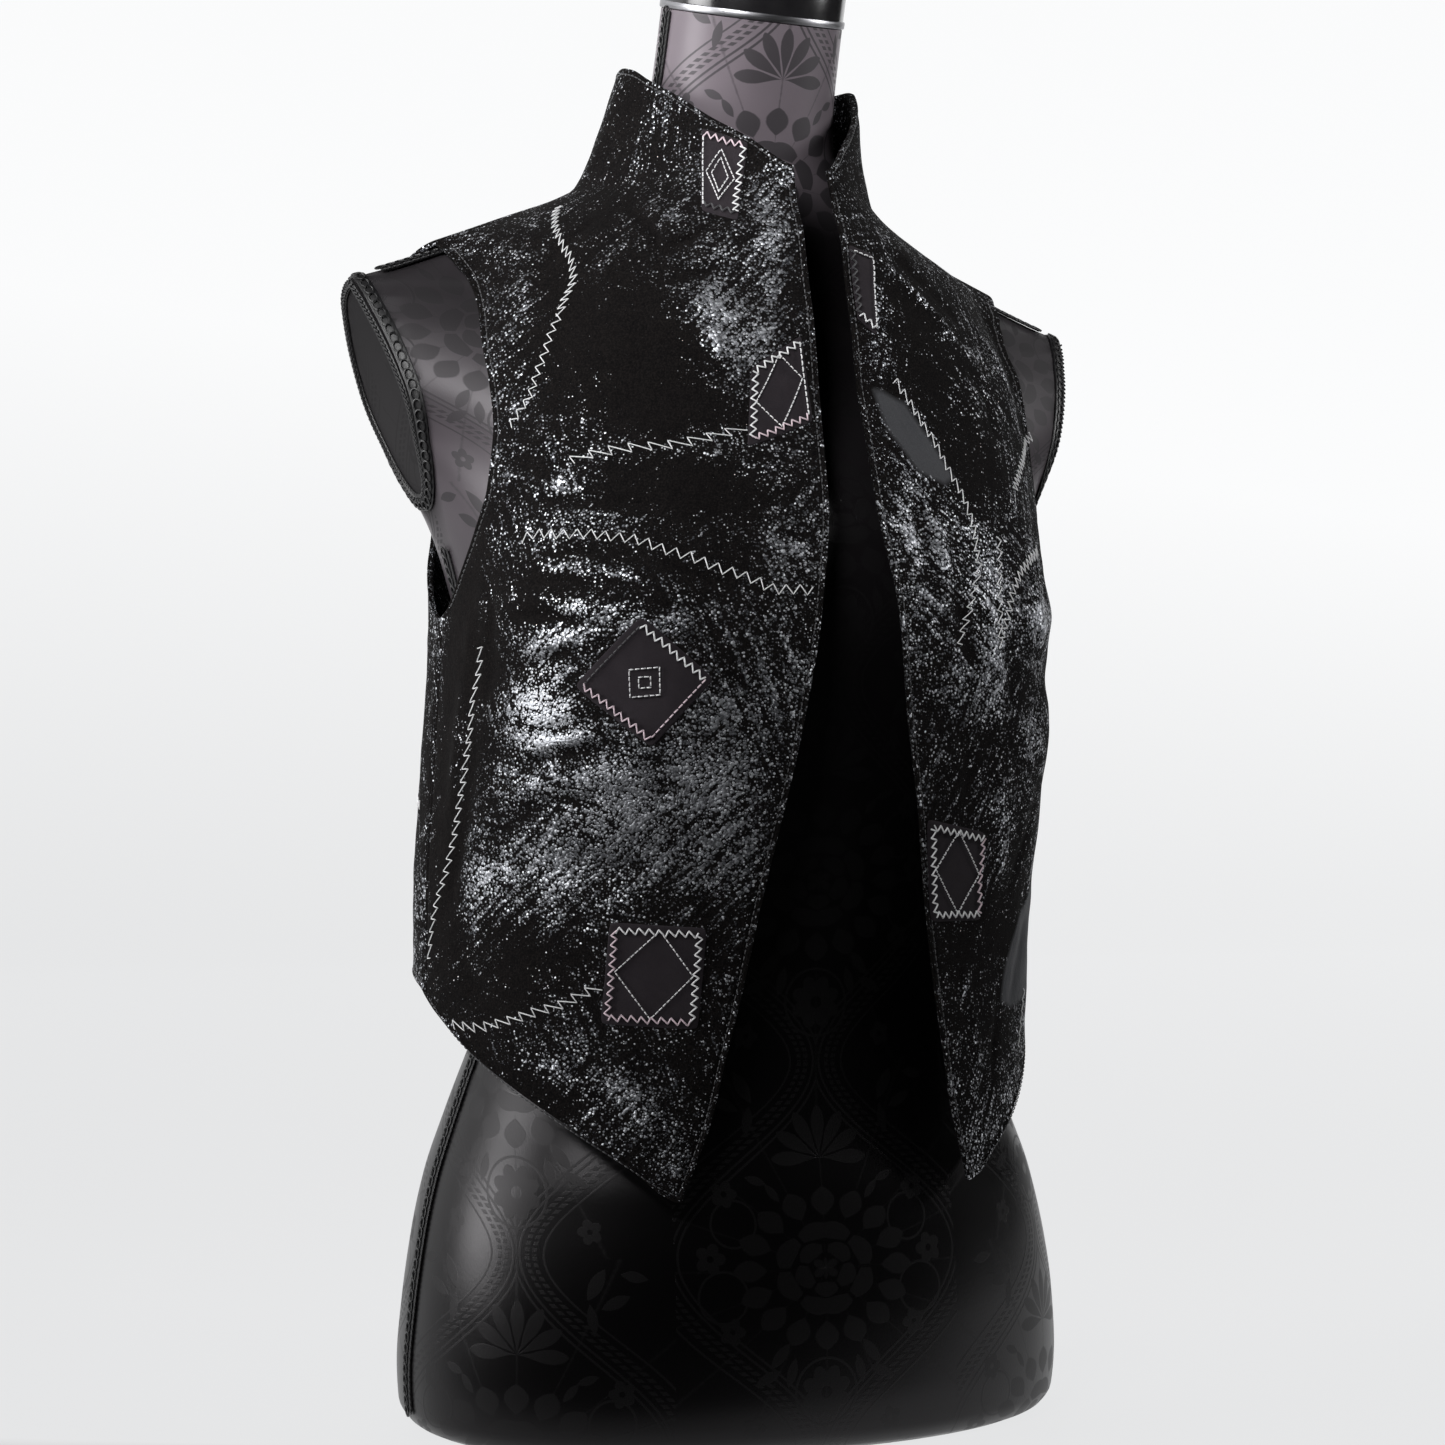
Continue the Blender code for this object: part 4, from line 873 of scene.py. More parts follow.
def grid_faces(used, flip):
    """Quads between neighbouring points of a grid, where all four are used, by the points' new numbers."""
    numbers = np.cumsum(used.ravel()).reshape(used.shape) - 1
    whole = used[:-1, :-1] & used[:-1, 1:] & used[1:, :-1] & used[1:, 1:]
    corners = [numbers[:-1, :-1], numbers[:-1, 1:], numbers[1:, 1:], numbers[1:, :-1]]
    quads = np.stack([corner[whole] for corner in corners], axis=1)
    return quads[:, ::-1] if flip else quads


def distance_from_edge(points, faces):
    """Distance of each point of a sheet from its nearest open edge."""
    pairs = np.sort(np.concatenate([faces[:, [k, (k + 1) % 4]] for k in range(4)]), axis=1)
    found, counts = np.unique(pairs, axis=0, return_counts=True)
    rim = np.unique(found[counts == 1])
    kd = KDTree(len(rim))
    for i in rim:
        kd.insert(points[i], int(i))
    kd.balance()
    return np.array([kd.find(point)[2] for point in points])


def uneven(points, scale, shift):
    return np.array([noise.noise(Vector(point) * scale + Vector((shift, 0, 0))) for point in points])


def thicken(item, thick, way, edge_width, segments):
    """Gives a sheet its wall, inward (-1) or outward (1), and takes the sharpness off its edges."""
    wall = item.modifiers.new("Wall", "SOLIDIFY")
    wall.thickness = thick
    wall.offset = way
    edge = item.modifiers.new("Edge", "BEVEL")
    edge.width = edge_width
    edge.segments = segments
    edge.limit_method = "ANGLE"
    edge.angle_limit = radians(55)


def build_panel(name, side, degrees, height):
    """A panel: its plain grid, folds, turned-in edges and topstitch groove, with the wall added inward."""
    used = ~np.isnan(degrees)
    degrees = degrees[used]
    height = height[used]
    relief = crease_relief(side, degrees, height)
    faces = grid_faces(used, side <= 0)
    plain = panel_points(side, degrees, height, relief)
    from_edge = distance_from_edge(plain, faces)
    wave = uneven(plain, 28.0, 3.0) * BROAD_WAVE + uneven(plain, 75.0, 9.0) * FINE_WAVE
    wave = wave * ease(from_edge, 0.0, 0.012)
    roll = ROLL_RISE * np.exp(-((from_edge - ROLL_INSET) / 0.0010) ** 2)
    groove = -GROOVE_DEPTH * np.exp(-((from_edge - STITCH_INSET) / 0.0007) ** 2)
    turn = np.radians(np.minimum(degrees, 360 - degrees))
    base = vest_radius(side if side else np.where(degrees < 180, -1, 1), turn, height)
    least = np.minimum(form_radius(turn, height) + LEAST_ROOM - base, 0)
    points = panel_points(side, degrees, height, np.maximum(relief + wave + roll + groove, least))
    item = mesh_of(name, points, faces)
    paint(item, "foil", foil_and_highlight_amount(side, degrees, height))
    paint(item, "from_edge", from_edge)
    paint(item, "crease", relief)
    paint(item, "leather", petal_depth(side, degrees, height))
    paint(item, "lie", np.stack([np.radians(degrees) * WRAP, height, 0 * height], axis=-1))
    thicken(item, CLOTH, -1, 0.0009, 3)
    return item, tree_of(points, faces)


suede = Look("black_foiled_suede")
lie_on = suede.named("lie")[1]
# The foil amount from the listed areas; where it is high it also brightens the silver, as a painted highlight
hand = suede.named("foil")[0]
# The folds' relief; the foil below uses it for painted highlights on ridges and painted shade in troughs
crease = suede.named("crease")[0]
leather = suede.named("leather")[0].over(-0.0008, 0.0016)
rim = (0.0024 - suede.named("from_edge")[0]).over(0.0, 0.0012)


def strokes(degrees, long_scale, fine_scale, shift):
    """Brush strokes that run at an angle over the cloth: streaky noise, drawn out along them."""
    rotate = suede.tree.nodes.new("ShaderNodeVectorRotate")
    rotate.rotation_type = "Z_AXIS"
    rotate.inputs["Angle"].default_value = radians(degrees)
    suede.tree.links.new(lie_on, rotate.inputs["Vector"])
    return suede.cloudy(rotate.outputs[0], 1.0, detail=4.0, rough=0.62, twist=0.35,
                        stretch=(long_scale, fine_scale, 1.0), shift=(shift, 0, 0))


# How far the foil covers the suede: given by the listed areas, then broken up by clouds and by strokes of a
# brush
broad = suede.cloudy(suede.place, 12.0, shift=(3.1, 0, 0))
blotch = suede.cloudy(suede.place, 70.0, detail=4.0, rough=0.65, twist=0.8)
picks = suede.cloudy(suede.place, 17.0, detail=1.0, shift=(0, 5.5, 0))
slanting = (picks - 0.52).over(0.0, 0.05)
steep = (0.45 - picks).over(0.0, 0.05)
streak = strokes(-8, 26.0, 330.0, 0.0) * (1.0 - (slanting + steep))
streak = streak + strokes(42, 30.0, 300.0, 4.0) * slanting + strokes(-66, 26.0, 300.0, 9.0) * steep
cover = hand * 0.62 + (broad - 0.5) * 0.8 + (blotch - 0.5) * 0.9 + (streak - 0.5) * 1.9
# More foil on the ridges of folds and less in their troughs: a painted highlight and a painted shade
cover = cover + crease * 160.0 + rim * 0.06 + 0.40

# The foil itself is pebbles that grow from dots to a cracked film as it covers more
specks = suede.tree.nodes.new("ShaderNodeTexVoronoi")
specks.inputs["Scale"].default_value = 820.0
suede.tree.links.new(suede.place, specks.inputs["Vector"])
size_luck, shine_luck, _ = suede.split(specks.outputs["Color"])
speck_off = Value(suede.tree, specks.outputs["Distance"])
foil = (cover * 0.95 - size_luck * 0.42 - speck_off).over(-0.03, 0.08) * (1.0 - leather)
# The silver's brightness: random from cell to cell, with a painted highlight where the foil lies thick and on
# the ridges of folds
silver_tone_and_painted_highlight = hand * hand * 0.6 + (hand * -0.7 + 0.95) * shine_luck * shine_luck
silver_tone_and_painted_highlight = silver_tone_and_painted_highlight + (broad - 0.5) * 0.6 + crease * 50.0
silver_tone_and_painted_highlight = silver_tone_and_painted_highlight.join("ADD", 0.0, clamp=True) ** 1.5

fuzz = suede.cloudy(suede.place, 1300.0, rough=0.7)
nap = suede.cloudy(suede.place, 260.0, detail=3.0, rough=0.7)
pile = suede.blend(blotch, (0.0010, 0.0010, 0.0013), (0.0042, 0.0036, 0.0035))
pile = suede.blend((fuzz - 0.54).over(0.0, 0.10) * 0.4, pile, (0.020, 0.017, 0.016))
pile = suede.blend(leather * (fuzz * 0.5 + 0.6), pile, (0.060, 0.061, 0.066))
silver = suede.blend(silver_tone_and_painted_highlight, (0.05, 0.052, 0.058), (0.86, 0.88, 0.93))
suede.feed(Base_Color=suede.blend(foil, pile, silver), Metallic=foil * 0.95, IOR=1.12,
           Roughness=foil * -0.36 + leather * -0.30 + nap * 0.12 + 0.80,
           Sheen_Weight=0.004, Sheen_Roughness=0.5)
suede.bump(foil * (1.2 - speck_off) + nap * 1.2 + fuzz * 0.3 + blotch * 1.6 + streak * 1.0, 0.00028)

panels = {}
trees = {}
for side, node, flat, area in ((-1, "vest_front_right", (0.235, 0.560), 0.100),
                               (1, "vest_front_left", (0.230, 0.555), 0.097),
                               (0, "vest_back", (0.420, 0.410), 0.1465)):
    places = front_places(side) if side else back_places()
    panels[side], trees[side] = build_panel(node + "_suede", side, *places)
    stands_for(panels[side], node, suede)

# Suede patches
# Six patches of purplish grey suede, cut square with barely rounded corners and laid flat on the fronts. Each
# is sewn down round its edge.

PATCH_THICK = 0.0011
PATCH_LIFT = 0.0004
CORNER = 0.035

# Name, side, the corners as degrees and height from the top at the side round by the front edge, then the
# flat cut's width and length and its area
PATCHES = (
    ("patch_collar_right", -1, ((38.5, 0.6355), (19.4, 0.6275), (20.8, 0.5864), (30.6, 0.5917)),
     (0.026, 0.050), 0.00108),
    ("patch_chest_right", -1, ((19.8, 0.5134), (8.0, 0.5307), (6.9, 0.4890), (21.2, 0.4753)),
     (0.036, 0.043), 0.00127),
    ("patch_waist_right", -1, ((39.5, 0.3946), (27.8, 0.3666), (38.4, 0.3341), (51.4, 0.3616)),
     (0.0465, 0.046), 0.00208),
    ("patch_hem_right", -1, ((47.2, 0.2523), (29.1, 0.2510), (30.7, 0.2036), (49.1, 0.2046)),
     (0.047, 0.048), 0.00223),
    ("patch_collar_left", 1, ((14.5, 0.5761), (6.8, 0.5778), (6.4, 0.5411), (10.9, 0.5341)),
     (0.016, 0.0445), 0.00060),
    ("patch_waist_left", 1, ((33.2, 0.2954), (16.6, 0.3027), (20.2, 0.2533), (35.4, 0.2528)),
     (0.0415, 0.0495), 0.00183),
)


def laid(side, degrees, height, lift):
    """Points moved out from a panel's face at places given in degrees and height, and the way out of it."""

    def at(turn=0.0, rise=0.0):
        return panel_points(side, degrees + turn, height + rise)

    outs = unit(np.cross(at(turn=0.15) - at(turn=-0.15), at(rise=0.0004) - at(rise=-0.0004)))
    outs = outs if side > 0 else -outs
    points = []
    for start, out in zip(at(), outs):
        hit = trees[side].ray_cast(Vector(start + out * 0.02), Vector(-out))[0]
        points.append(np.array(hit) if hit is not None else start)
    return np.array(points) + outs * lift, outs


def patch_place(corners, across, up):
    """Degrees and height inside a patch: across from its side to its front edge, up from foot to top."""
    shares = np.stack([up * (1 - across), up * across, (1 - up) * across, (1 - up) * (1 - across)], axis=-1)
    return np.moveaxis(shares @ np.array(corners), -1, 0)


patch_suede = Look("purplish_grey_suede")
fuzz = patch_suede.cloudy(patch_suede.place, 1500.0, rough=0.8)
brushed = patch_suede.cloudy(patch_suede.place, 70.0, detail=4.0, rough=0.65, twist=0.8)
patch_colour = patch_suede.blend(fuzz * 0.5 + brushed * 0.5, (0.010, 0.0082, 0.010), (0.034, 0.029, 0.033))
patch_suede.feed(Base_Color=patch_colour, Roughness=0.92, IOR=1.15, Sheen_Weight=0.04, Sheen_Roughness=0.45)
patch_suede.bump(fuzz * 0.6 + brushed * 1.2, 0.00022)

patch_trees = {}
for name, side, corners, flat, area in PATCHES:
    count = 33
    across, up = np.meshgrid(np.linspace(0, 1, count), np.linspace(0, 1, count))
    pull = CORNER * (np.abs(2 * across - 1) ** 12) * (np.abs(2 * up - 1) ** 12)
    degrees, height = patch_place(corners, 0.5 + (across - 0.5) * (1 - pull), 0.5 + (up - 0.5) * (1 - pull))
    points, outs = laid(side, degrees.ravel(), height.ravel(), PATCH_LIFT)
    faces = grid_faces(np.ones((count, count), bool), side < 0)
    patch = mesh_of(name + "_suede", points, faces)
    patch_trees[name] = tree_of(points + outs * PATCH_THICK, faces)
    thicken(patch, PATCH_THICK, 1, 0.0004, 2)
    stands_for(patch, name, patch_suede)

# Sewing
# Pieced seams closed with a wide zigzag in white thread, topstitching along every turned edge in dark thread,
# and pale dashed squares on the patches. Each thread is a real strand that lies on the cloth.

THREAD = 0.00028
ZIGZAG_LIFT = THREAD * 0.8
DASH_LIFT = THREAD * 0.7
ZIGZAG_HALF_WIDTH = 0.0021
ZIGZAG_PITCH = 0.0062

# Seams by side: how far the zigzag leans from even to saw-toothed, its width and pitch against the usual, and
# its line as degrees and height
SEAMS = {
    -1: (
        (0.45, 0.9, 0.77, ((77, 0.597), (68, 0.584), (62, 0.572), (59, 0.563), (58, 0.555), (59.2, 0.538))),
        (0, 0.9, 0.95, ((59.2, 0.538), (61, 0.518), (63.4, 0.495), (66, 0.483))),
        (0.35, 1.1, 1.5, ((54, 0.4662), (48.4, 0.471), (39.5, 0.474), (30.4, 0.478), (22.2, 0.4845))),
        (0, 1.1, 1.12, ((62, 0.43), (59, 0.432), (49, 0.4322), (43, 0.431), (36, 0.426), (29, 0.42),
            (21, 0.413), (15.8, 0.4087), (9.6, 0.4088))),
        (0.35, 1, 1.05, ((73, 0.38), (74.4, 0.358), (75, 0.341), (77.6, 0.31), (81, 0.279), (84, 0.261),
            (86.5, 0.246), (88, 0.226))),
        (0.35, 1.1, 1.18, ((80.5, 0.1975), (73.3, 0.1985), (64, 0.206), (58, 0.211), (54, 0.216),
            (49.5, 0.2212))),
    ),
    1: (
        (0.3, 0.9, 1, ((14.7, 0.515), (19.7, 0.499), (23.4, 0.483), (26, 0.4645), (27.2, 0.4577),
            (27.4, 0.4425), (27.2, 0.429), (25.6, 0.417), (22.7, 0.3995), (20.9, 0.3846))),
        (0.3, 1.2, 0.8, ((72, 0.5), (63, 0.49), (55.6, 0.481), (46.2, 0.4667))),
        (0, 1.1, 0.8, ((51.6, 0.435), (42.2, 0.4266), (36.4, 0.416), (33.8, 0.4048), (31.2, 0.3887))),
        (0.2, 0.9, 1, ((34.7, 0.4405), (31.9, 0.418), (31, 0.398), (30.9, 0.385))),
        (0.2, 0.9, 0.9, ((61, 0.2152), (59.4, 0.199), (58.3, 0.185))),
    ),
    0: (
        (0, 1, 1.1, ((108, 0.47), (130, 0.462), (152, 0.466), (180, 0.478), (204, 0.474), (228, 0.462),
            (250, 0.468))),
        (0.3, 1, 1.3, ((150, 0.466), (146, 0.5), (150, 0.54), (158, 0.58), (160, 0.604))),
        (0.2, 1, 1.1, ((214, 0.464), (220, 0.42), (214, 0.36), (222, 0.3), (220, 0.226))),
        (0.3, 1, 1.2, ((96, 0.3), (120, 0.312), (146, 0.3), (180, 0.306), (214, 0.322))),
    ),
}


def smoothed(line, step):
    """A line of points again, evenly spaced. Columns after the third, such as a way out, go with them."""
    lengths = travelled(line[:, :3])
    wanted = np.linspace(0, lengths[-1], max(2, int(round(lengths[-1] / step)) + 1))
    return np.stack([np.interp(wanted, lengths, column) for column in line.T], axis=1)


def frames_of(points, outs, step):
    """Evenly spaced places along a line on a face, and the ways out of it, ahead and across at each."""
    spots = smoothed(np.concatenate([points, outs], axis=1), step)
    out = unit(spots[:, 3:])
    ahead = unit(np.gradient(spots[:, :3], axis=0))
    return spots[:, :3], out, ahead, np.cross(ahead, out)


class Bundle:
    """Gathers many small closed solids into one mesh."""

    def __init__(self):
        self.points = []
        self.faces = []

    def add(self, points, faces):
        base = len(self.points)
        self.points += points.reshape(-1, 3).tolist()
        self.faces += [[base + k for k in face] for face in faces]

    def tube(self, line, radius, outs, sides=5, closed=False):
        """A thread along a line on a face, with flat ends unless it is closed."""
        n = len(line)
        run = np.roll(line, -1, axis=0) - np.roll(line, 1, axis=0) if closed else np.gradient(line, axis=0)
        ahead = unit(run)
        across = unit(np.cross(ahead, outs))
        normal = np.cross(across, ahead)
        turn = np.linspace(0, 2 * pi, sides, endpoint=False)[:, None]
        ringed = line[:, None] + radius * (np.cos(turn) * across[:, None] + np.sin(turn) * normal[:, None])
        i, j = np.divmod(np.arange((n if closed else n - 1) * sides), sides)
        after = (i + 1) % n * sides
        beside = (j + 1) % sides
        faces = np.stack([i * sides + j, after + j, after + beside, i * sides + beside], axis=1).tolist()
        if not closed:
            faces += [list(range(sides)), list(range((n - 1) * sides, n * sides))[::-1]]
        self.add(ringed, faces)

    def build(self, name):
        return mesh_of(name, self.points, self.faces, smooth=radians(60))


def paced(line, step):
    """A line of (degrees, height) again, evenly spaced over the cloth."""
    spots = np.array([(radians(d) * WRAP, h) for d, h in line])
    lengths = travelled(spots)
    wanted = np.linspace(0, lengths[-1], max(3, int(round(lengths[-1] / step)) + 1))
    across, up = [smooth_through(lengths, spots[:, k])(wanted) for k in range(2)]
    return np.degrees(across / WRAP), up


def on_face(face, points, outs, lift):
    """Points moved straight onto a face and a little out of it."""
    result = []
    for point, out in zip(points, outs):
        hit = face.ray_cast(Vector(point + out * 0.012), Vector(-out), 0.03)[0]
        result.append((np.array(hit) if hit is not None else point) + out * lift)
    return np.array(result)


def zigzag(bundle, face, points, outs, half_width, pitch, lean, thread=THREAD):
    """A zigzag of one strand along a line of points on a face."""
    centres, out, ahead, across = frames_of(points, outs, pitch / 2)
    number = np.arange(len(centres))
    sign = np.where(number % 2 == 0, 1.0, -1.0)
    wander = 1 + 0.14 * np.sin(number * 2.3 + centres[0, 2] * 90)
    tips = centres + across * (sign * half_width * wander)[:, None] + ahead * (sign * lean * pitch)[:, None]
    shares = np.array((0.0, 0.12, 0.5, 0.88))[:, None]
    line = np.concatenate([start * (1 - shares) + end * shares for start, end in zip(tips, tips[1:])])
    line_outs = np.repeat(out[:-1], len(shares), axis=0)
    line = on_face(face, line, line_outs, ZIGZAG_LIFT)
    line[::4] -= line_outs[::4] * ZIGZAG_LIFT * 1.1
    bundle.tube(line, thread, line_outs, sides=6)


def dashes(bundle, face, points, outs, pitch, share, thread):
    """A row of running stitches along a line of points on a face."""
    centres, ways, _, _ = frames_of(points, outs, pitch)
    shares = np.linspace(0, share, 5)[:, None]
    for start, end, out in zip(centres, centres[1:], ways):
        line_outs = np.tile(out, (len(shares), 1))
        line = on_face(face, start * (1 - shares) + end * shares, line_outs, DASH_LIFT)
        line[[0, -1]] -= out * DASH_LIFT * 2.2
        bundle.tube(line, thread, line_outs, sides=6)


def thread_look(name, dark, light):
    look = Look(name)
    ply = look.cloudy(look.place, 2200.0, detail=1.0)
    look.feed(Base_Color=look.blend(ply, dark, light), Roughness=0.5, Sheen_Weight=0.2)
    look.bump(ply, 0.0001)
    return look


white_thread = thread_look("white_thread", (0.42, 0.42, 0.44), (0.80, 0.80, 0.80))
pink_thread = thread_look("pinkish_thread", (0.38, 0.29, 0.33), (0.70, 0.57, 0.62))
dark_thread = thread_look("dark_thread", (0.012, 0.012, 0.014), (0.05, 0.05, 0.055))


def add_thread(bundle, name, look):
    item = bundle.build(name)
    item.data.materials.append(look.material)
    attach(item, "root")


def edge_lines(side):
    """Lines a stitch's width inside the open edges of a panel, as degrees and height."""
    arm_heights = runs_of((0.398, 0.575, 0.003))
    if side == 0:
        across = np.linspace(92, 268, 90)
        arm = ARMHOLE["back"](arm_heights) + np.degrees(STITCH_INSET / 0.11)
        hem = HEM[0](np.minimum(across, 360 - across)) + STITCH_INSET
        return (across, hem), (arm, arm_heights), (360 - arm, arm_heights)
    heights = runs_of((float(HEM[side](HEM_CORNER)) + 0.004, 0.606, 0.003))
    edge = edge_angle(side, heights)
    front = np.degrees(edge + STITCH_INSET / vest_radius(side, edge, heights))
    across = np.linspace(float(front[0]) + 1.0, 88, 60)
    arm = ARMHOLE["front"](arm_heights) - np.degrees(STITCH_INSET / WRAP)
    top = np.linspace(9.0, 178, 90)
    hem = HEM[side](across) + STITCH_INSET * 1.15
    return (front, heights), (across, hem), (arm, arm_heights), (top, COLLAR_TOP(top) - STITCH_INSET)


for side, hand in ((-1, "right"), (1, "left"), (0, "back")):
    bundle = Bundle()
    for lean, wide, long, line in SEAMS[side]:
        points, outs = laid(side, *paced(line, step=0.003), lift=0.0)
        zigzag(bundle, trees[side], points, outs, ZIGZAG_HALF_WIDTH * wide, ZIGZAG_PITCH * long, lean)
    add_thread(bundle, f"seam_thread_{hand}", white_thread)
    bundle = Bundle()
    for degrees, height in edge_lines(side):
        points, outs = laid(side, degrees, height, lift=0.0)
        dashes(bundle, trees[side], points, outs, pitch=0.0031, share=0.72, thread=0.0003)
    add_thread(bundle, f"topstitch_{hand}", dark_thread)

# Patch stitching: which thread each border has (top, front edge, foot, side), as w white, p pinkish and d
# dark, with z for a zigzag and r for running stitches, then the dashed figures inside: corners across and up
FIGURES = {
    "nested": ((0.30, 0.50), (0.50, 0.72), (0.70, 0.50), (0.50, 0.28)),
    "inner": ((0.42, 0.50), (0.50, 0.585), (0.58, 0.50), (0.50, 0.415)),
    "diamond": ((0.10, 0.52), (0.52, 0.95), (0.90, 0.52), (0.50, 0.08)),
    "slim": ((0.16, 0.50), (0.50, 0.82), (0.84, 0.50), (0.50, 0.18)),
}
BORDERS = {
    "patch_collar_right": (("pz", "wz", "dz", "wr"), ("slim", "nested")),
    "patch_chest_right": (("wz", "wr", "pz", "wz"), ("diamond",)),
    "patch_waist_right": (("wz", "pr", "pz", "dr"), ("nested", "inner")),
    "patch_hem_right": (("wz", "wz", "pz", "pz"), ("diamond",)),
    "patch_collar_left": (("wr", "dz", "wz", "wr"), ()),
    "patch_waist_left": (("wz", "wz", "wz", "pz"), ("diamond",)),
}
BORDER_CORNERS = ((0.07, 0.93), (0.93, 0.93), (0.93, 0.07), (0.07, 0.07))


def stitch_line(side, corners, start, end):
    """Points along a straight line on a patch's face, and the ways out of it."""
    across, up = np.linspace(start, end, 24).T
    return laid(side, *patch_place(corners, across, up), PATCH_LIFT + PATCH_THICK)


for name, side, corners, _, _ in PATCHES:
    borders, figures = BORDERS[name]
    face = patch_trees[name]
    bundles = {key: Bundle() for key in "wpd"}
    for (key, kind), start, end in zip(borders, BORDER_CORNERS, BORDER_CORNERS[1:] + BORDER_CORNERS[:1]):
        line = stitch_line(side, corners, start, end)
        if kind == "z":
            zigzag(bundles[key], face, *line, half_width=0.0015, pitch=0.0046, lean=0.10, thread=0.0004)
        else:
            dashes(bundles[key], face, *line, pitch=0.0032, share=0.68, thread=0.00036)
    for shape in [FIGURES[figure] for figure in figures]:
        for start, end in zip(shape, shape[1:] + shape[:1]):
            line = stitch_line(side, corners, start, end)
            dashes(bundles["w"], face, *line, pitch=0.0026, share=0.68, thread=0.0003)
    for key, look in (("w", white_thread), ("p", pink_thread), ("d", dark_thread)):
        if bundles[key].points:
            add_thread(bundles[key], f"{name}_{key}_stitches", look)

# Braids
# Black gimp, sewn over the form's side seams, shoulder seams and the rims of its arm plates: a flat tape with
# a row of small twisted rings along it. The bands round the arm plates also have a plaited herringbone row.

TAPE_THICK = 0.0009
TAPE_SECTION = ((-1.0, 0.0), (-1.0, 0.7), (-0.8, 1.0), (0.8, 1.0), (1.0, 0.7), (1.0, 0.0))


def tape(bundle, line, outs, half_width, lift):
    """A flat band along a line, with a closed section."""
    across = unit(np.cross(unit(np.gradient(line, axis=0)), outs))
    rows = [line + across * (half_width * s) + outs * (lift + TAPE_THICK * t) for s, t in TAPE_SECTION]
    bundle.add(np.stack(rows, axis=1), ringed_faces(len(line), len(rows)))


RING_SPOTS = 11
RING_STRETCH = 1.30
RING_TILT = 0.35


def rings(bundle, line, outs, pitch, radius, thread, lift, offset=0.0, closed=False):
    """A row of small rings that lie along a line, each over the edge of the one before."""
    frames = list(zip(*frames_of(line, outs, pitch)))
    turn = np.linspace(0, 2 * pi, RING_SPOTS, endpoint=False)[:, None]
    for centre, out, ahead, across in frames[:-1] if closed else frames:
        loop = (centre + across * offset + out * lift + radius * RING_STRETCH * np.cos(turn) * ahead
                + radius * np.sin(turn) * across + RING_TILT * thread * np.cos(turn) * out)
        bundle.tube(loop, thread, np.tile(out, (len(turn), 1)), closed=True)


def plait(bundle, line, outs, pitch, half_width, thread, lift):
    """A herringbone row: short slanting threads that meet in a point along the middle."""
    shares = np.linspace(0, 1, 4)[:, None]
    for centre, out, ahead, across in zip(*frames_of(line, outs, pitch)):
        for sign in (-1, 1):
            heart = centre + out * lift + ahead * pitch * 0.3
            tip = centre + out * (lift - thread * 0.6) + across * sign * half_width - ahead * pitch * 0.9
            bundle.tube(heart + (tip - heart) * shares, thread, np.tile(out, (len(shares), 1)))


def form_line(angle, heights):
    """A line down the form and the way out of it along that line."""
    outs = np.cross(form_points(angle + 0.01, heights) - form_points(angle - 0.01, heights),
                    form_points(angle, heights + 0.0006) - form_points(angle, heights - 0.0006))
    return form_points(angle, heights), unit(outs)


def arm_rim(side):
    """The rim of an arm plate: where the body meets the plane of the plate, as points from foot to foot."""
    front = []
    rear = []
    turn = np.radians(np.linspace(20, 150, 521))
    for level in np.linspace(PLATE_FOOT_HEIGHT - 0.004, 0.566, 260):
        height = level + 0 * turn
        points = placed(form_radius(turn, height), side, turn, height)
        past = np.abs(points[:, 0]) - plate_half_width(points[:, 2])
        outside = np.nonzero(past > 0)[0]
        if not len(outside):
            continue
        for half, i, j in ((front, outside[0] - 1, outside[0]), (rear, outside[-1], outside[-1] + 1)):
            half.append(points[i] + past[i] / (past[i] - past[j]) * (points[j] - points[i]))
    return np.array(front + rear[::-1])


gimp = Look("black_gimp")
twist = gimp.cloudy(gimp.place, 1700.0, detail=1.0)
fade_and_painted_light = gimp.cloudy(gimp.place, 45.0, detail=3.0)
gimp_colour = gimp.blend(twist * 0.5 + fade_and_painted_light * 0.5, (0.0015, 0.0015, 0.0018), (0.0110, 0.0105, 0.0115))
gimp.feed(Base_Color=gimp_colour, Roughness=0.46)
gimp.bump(twist, 0.00005)

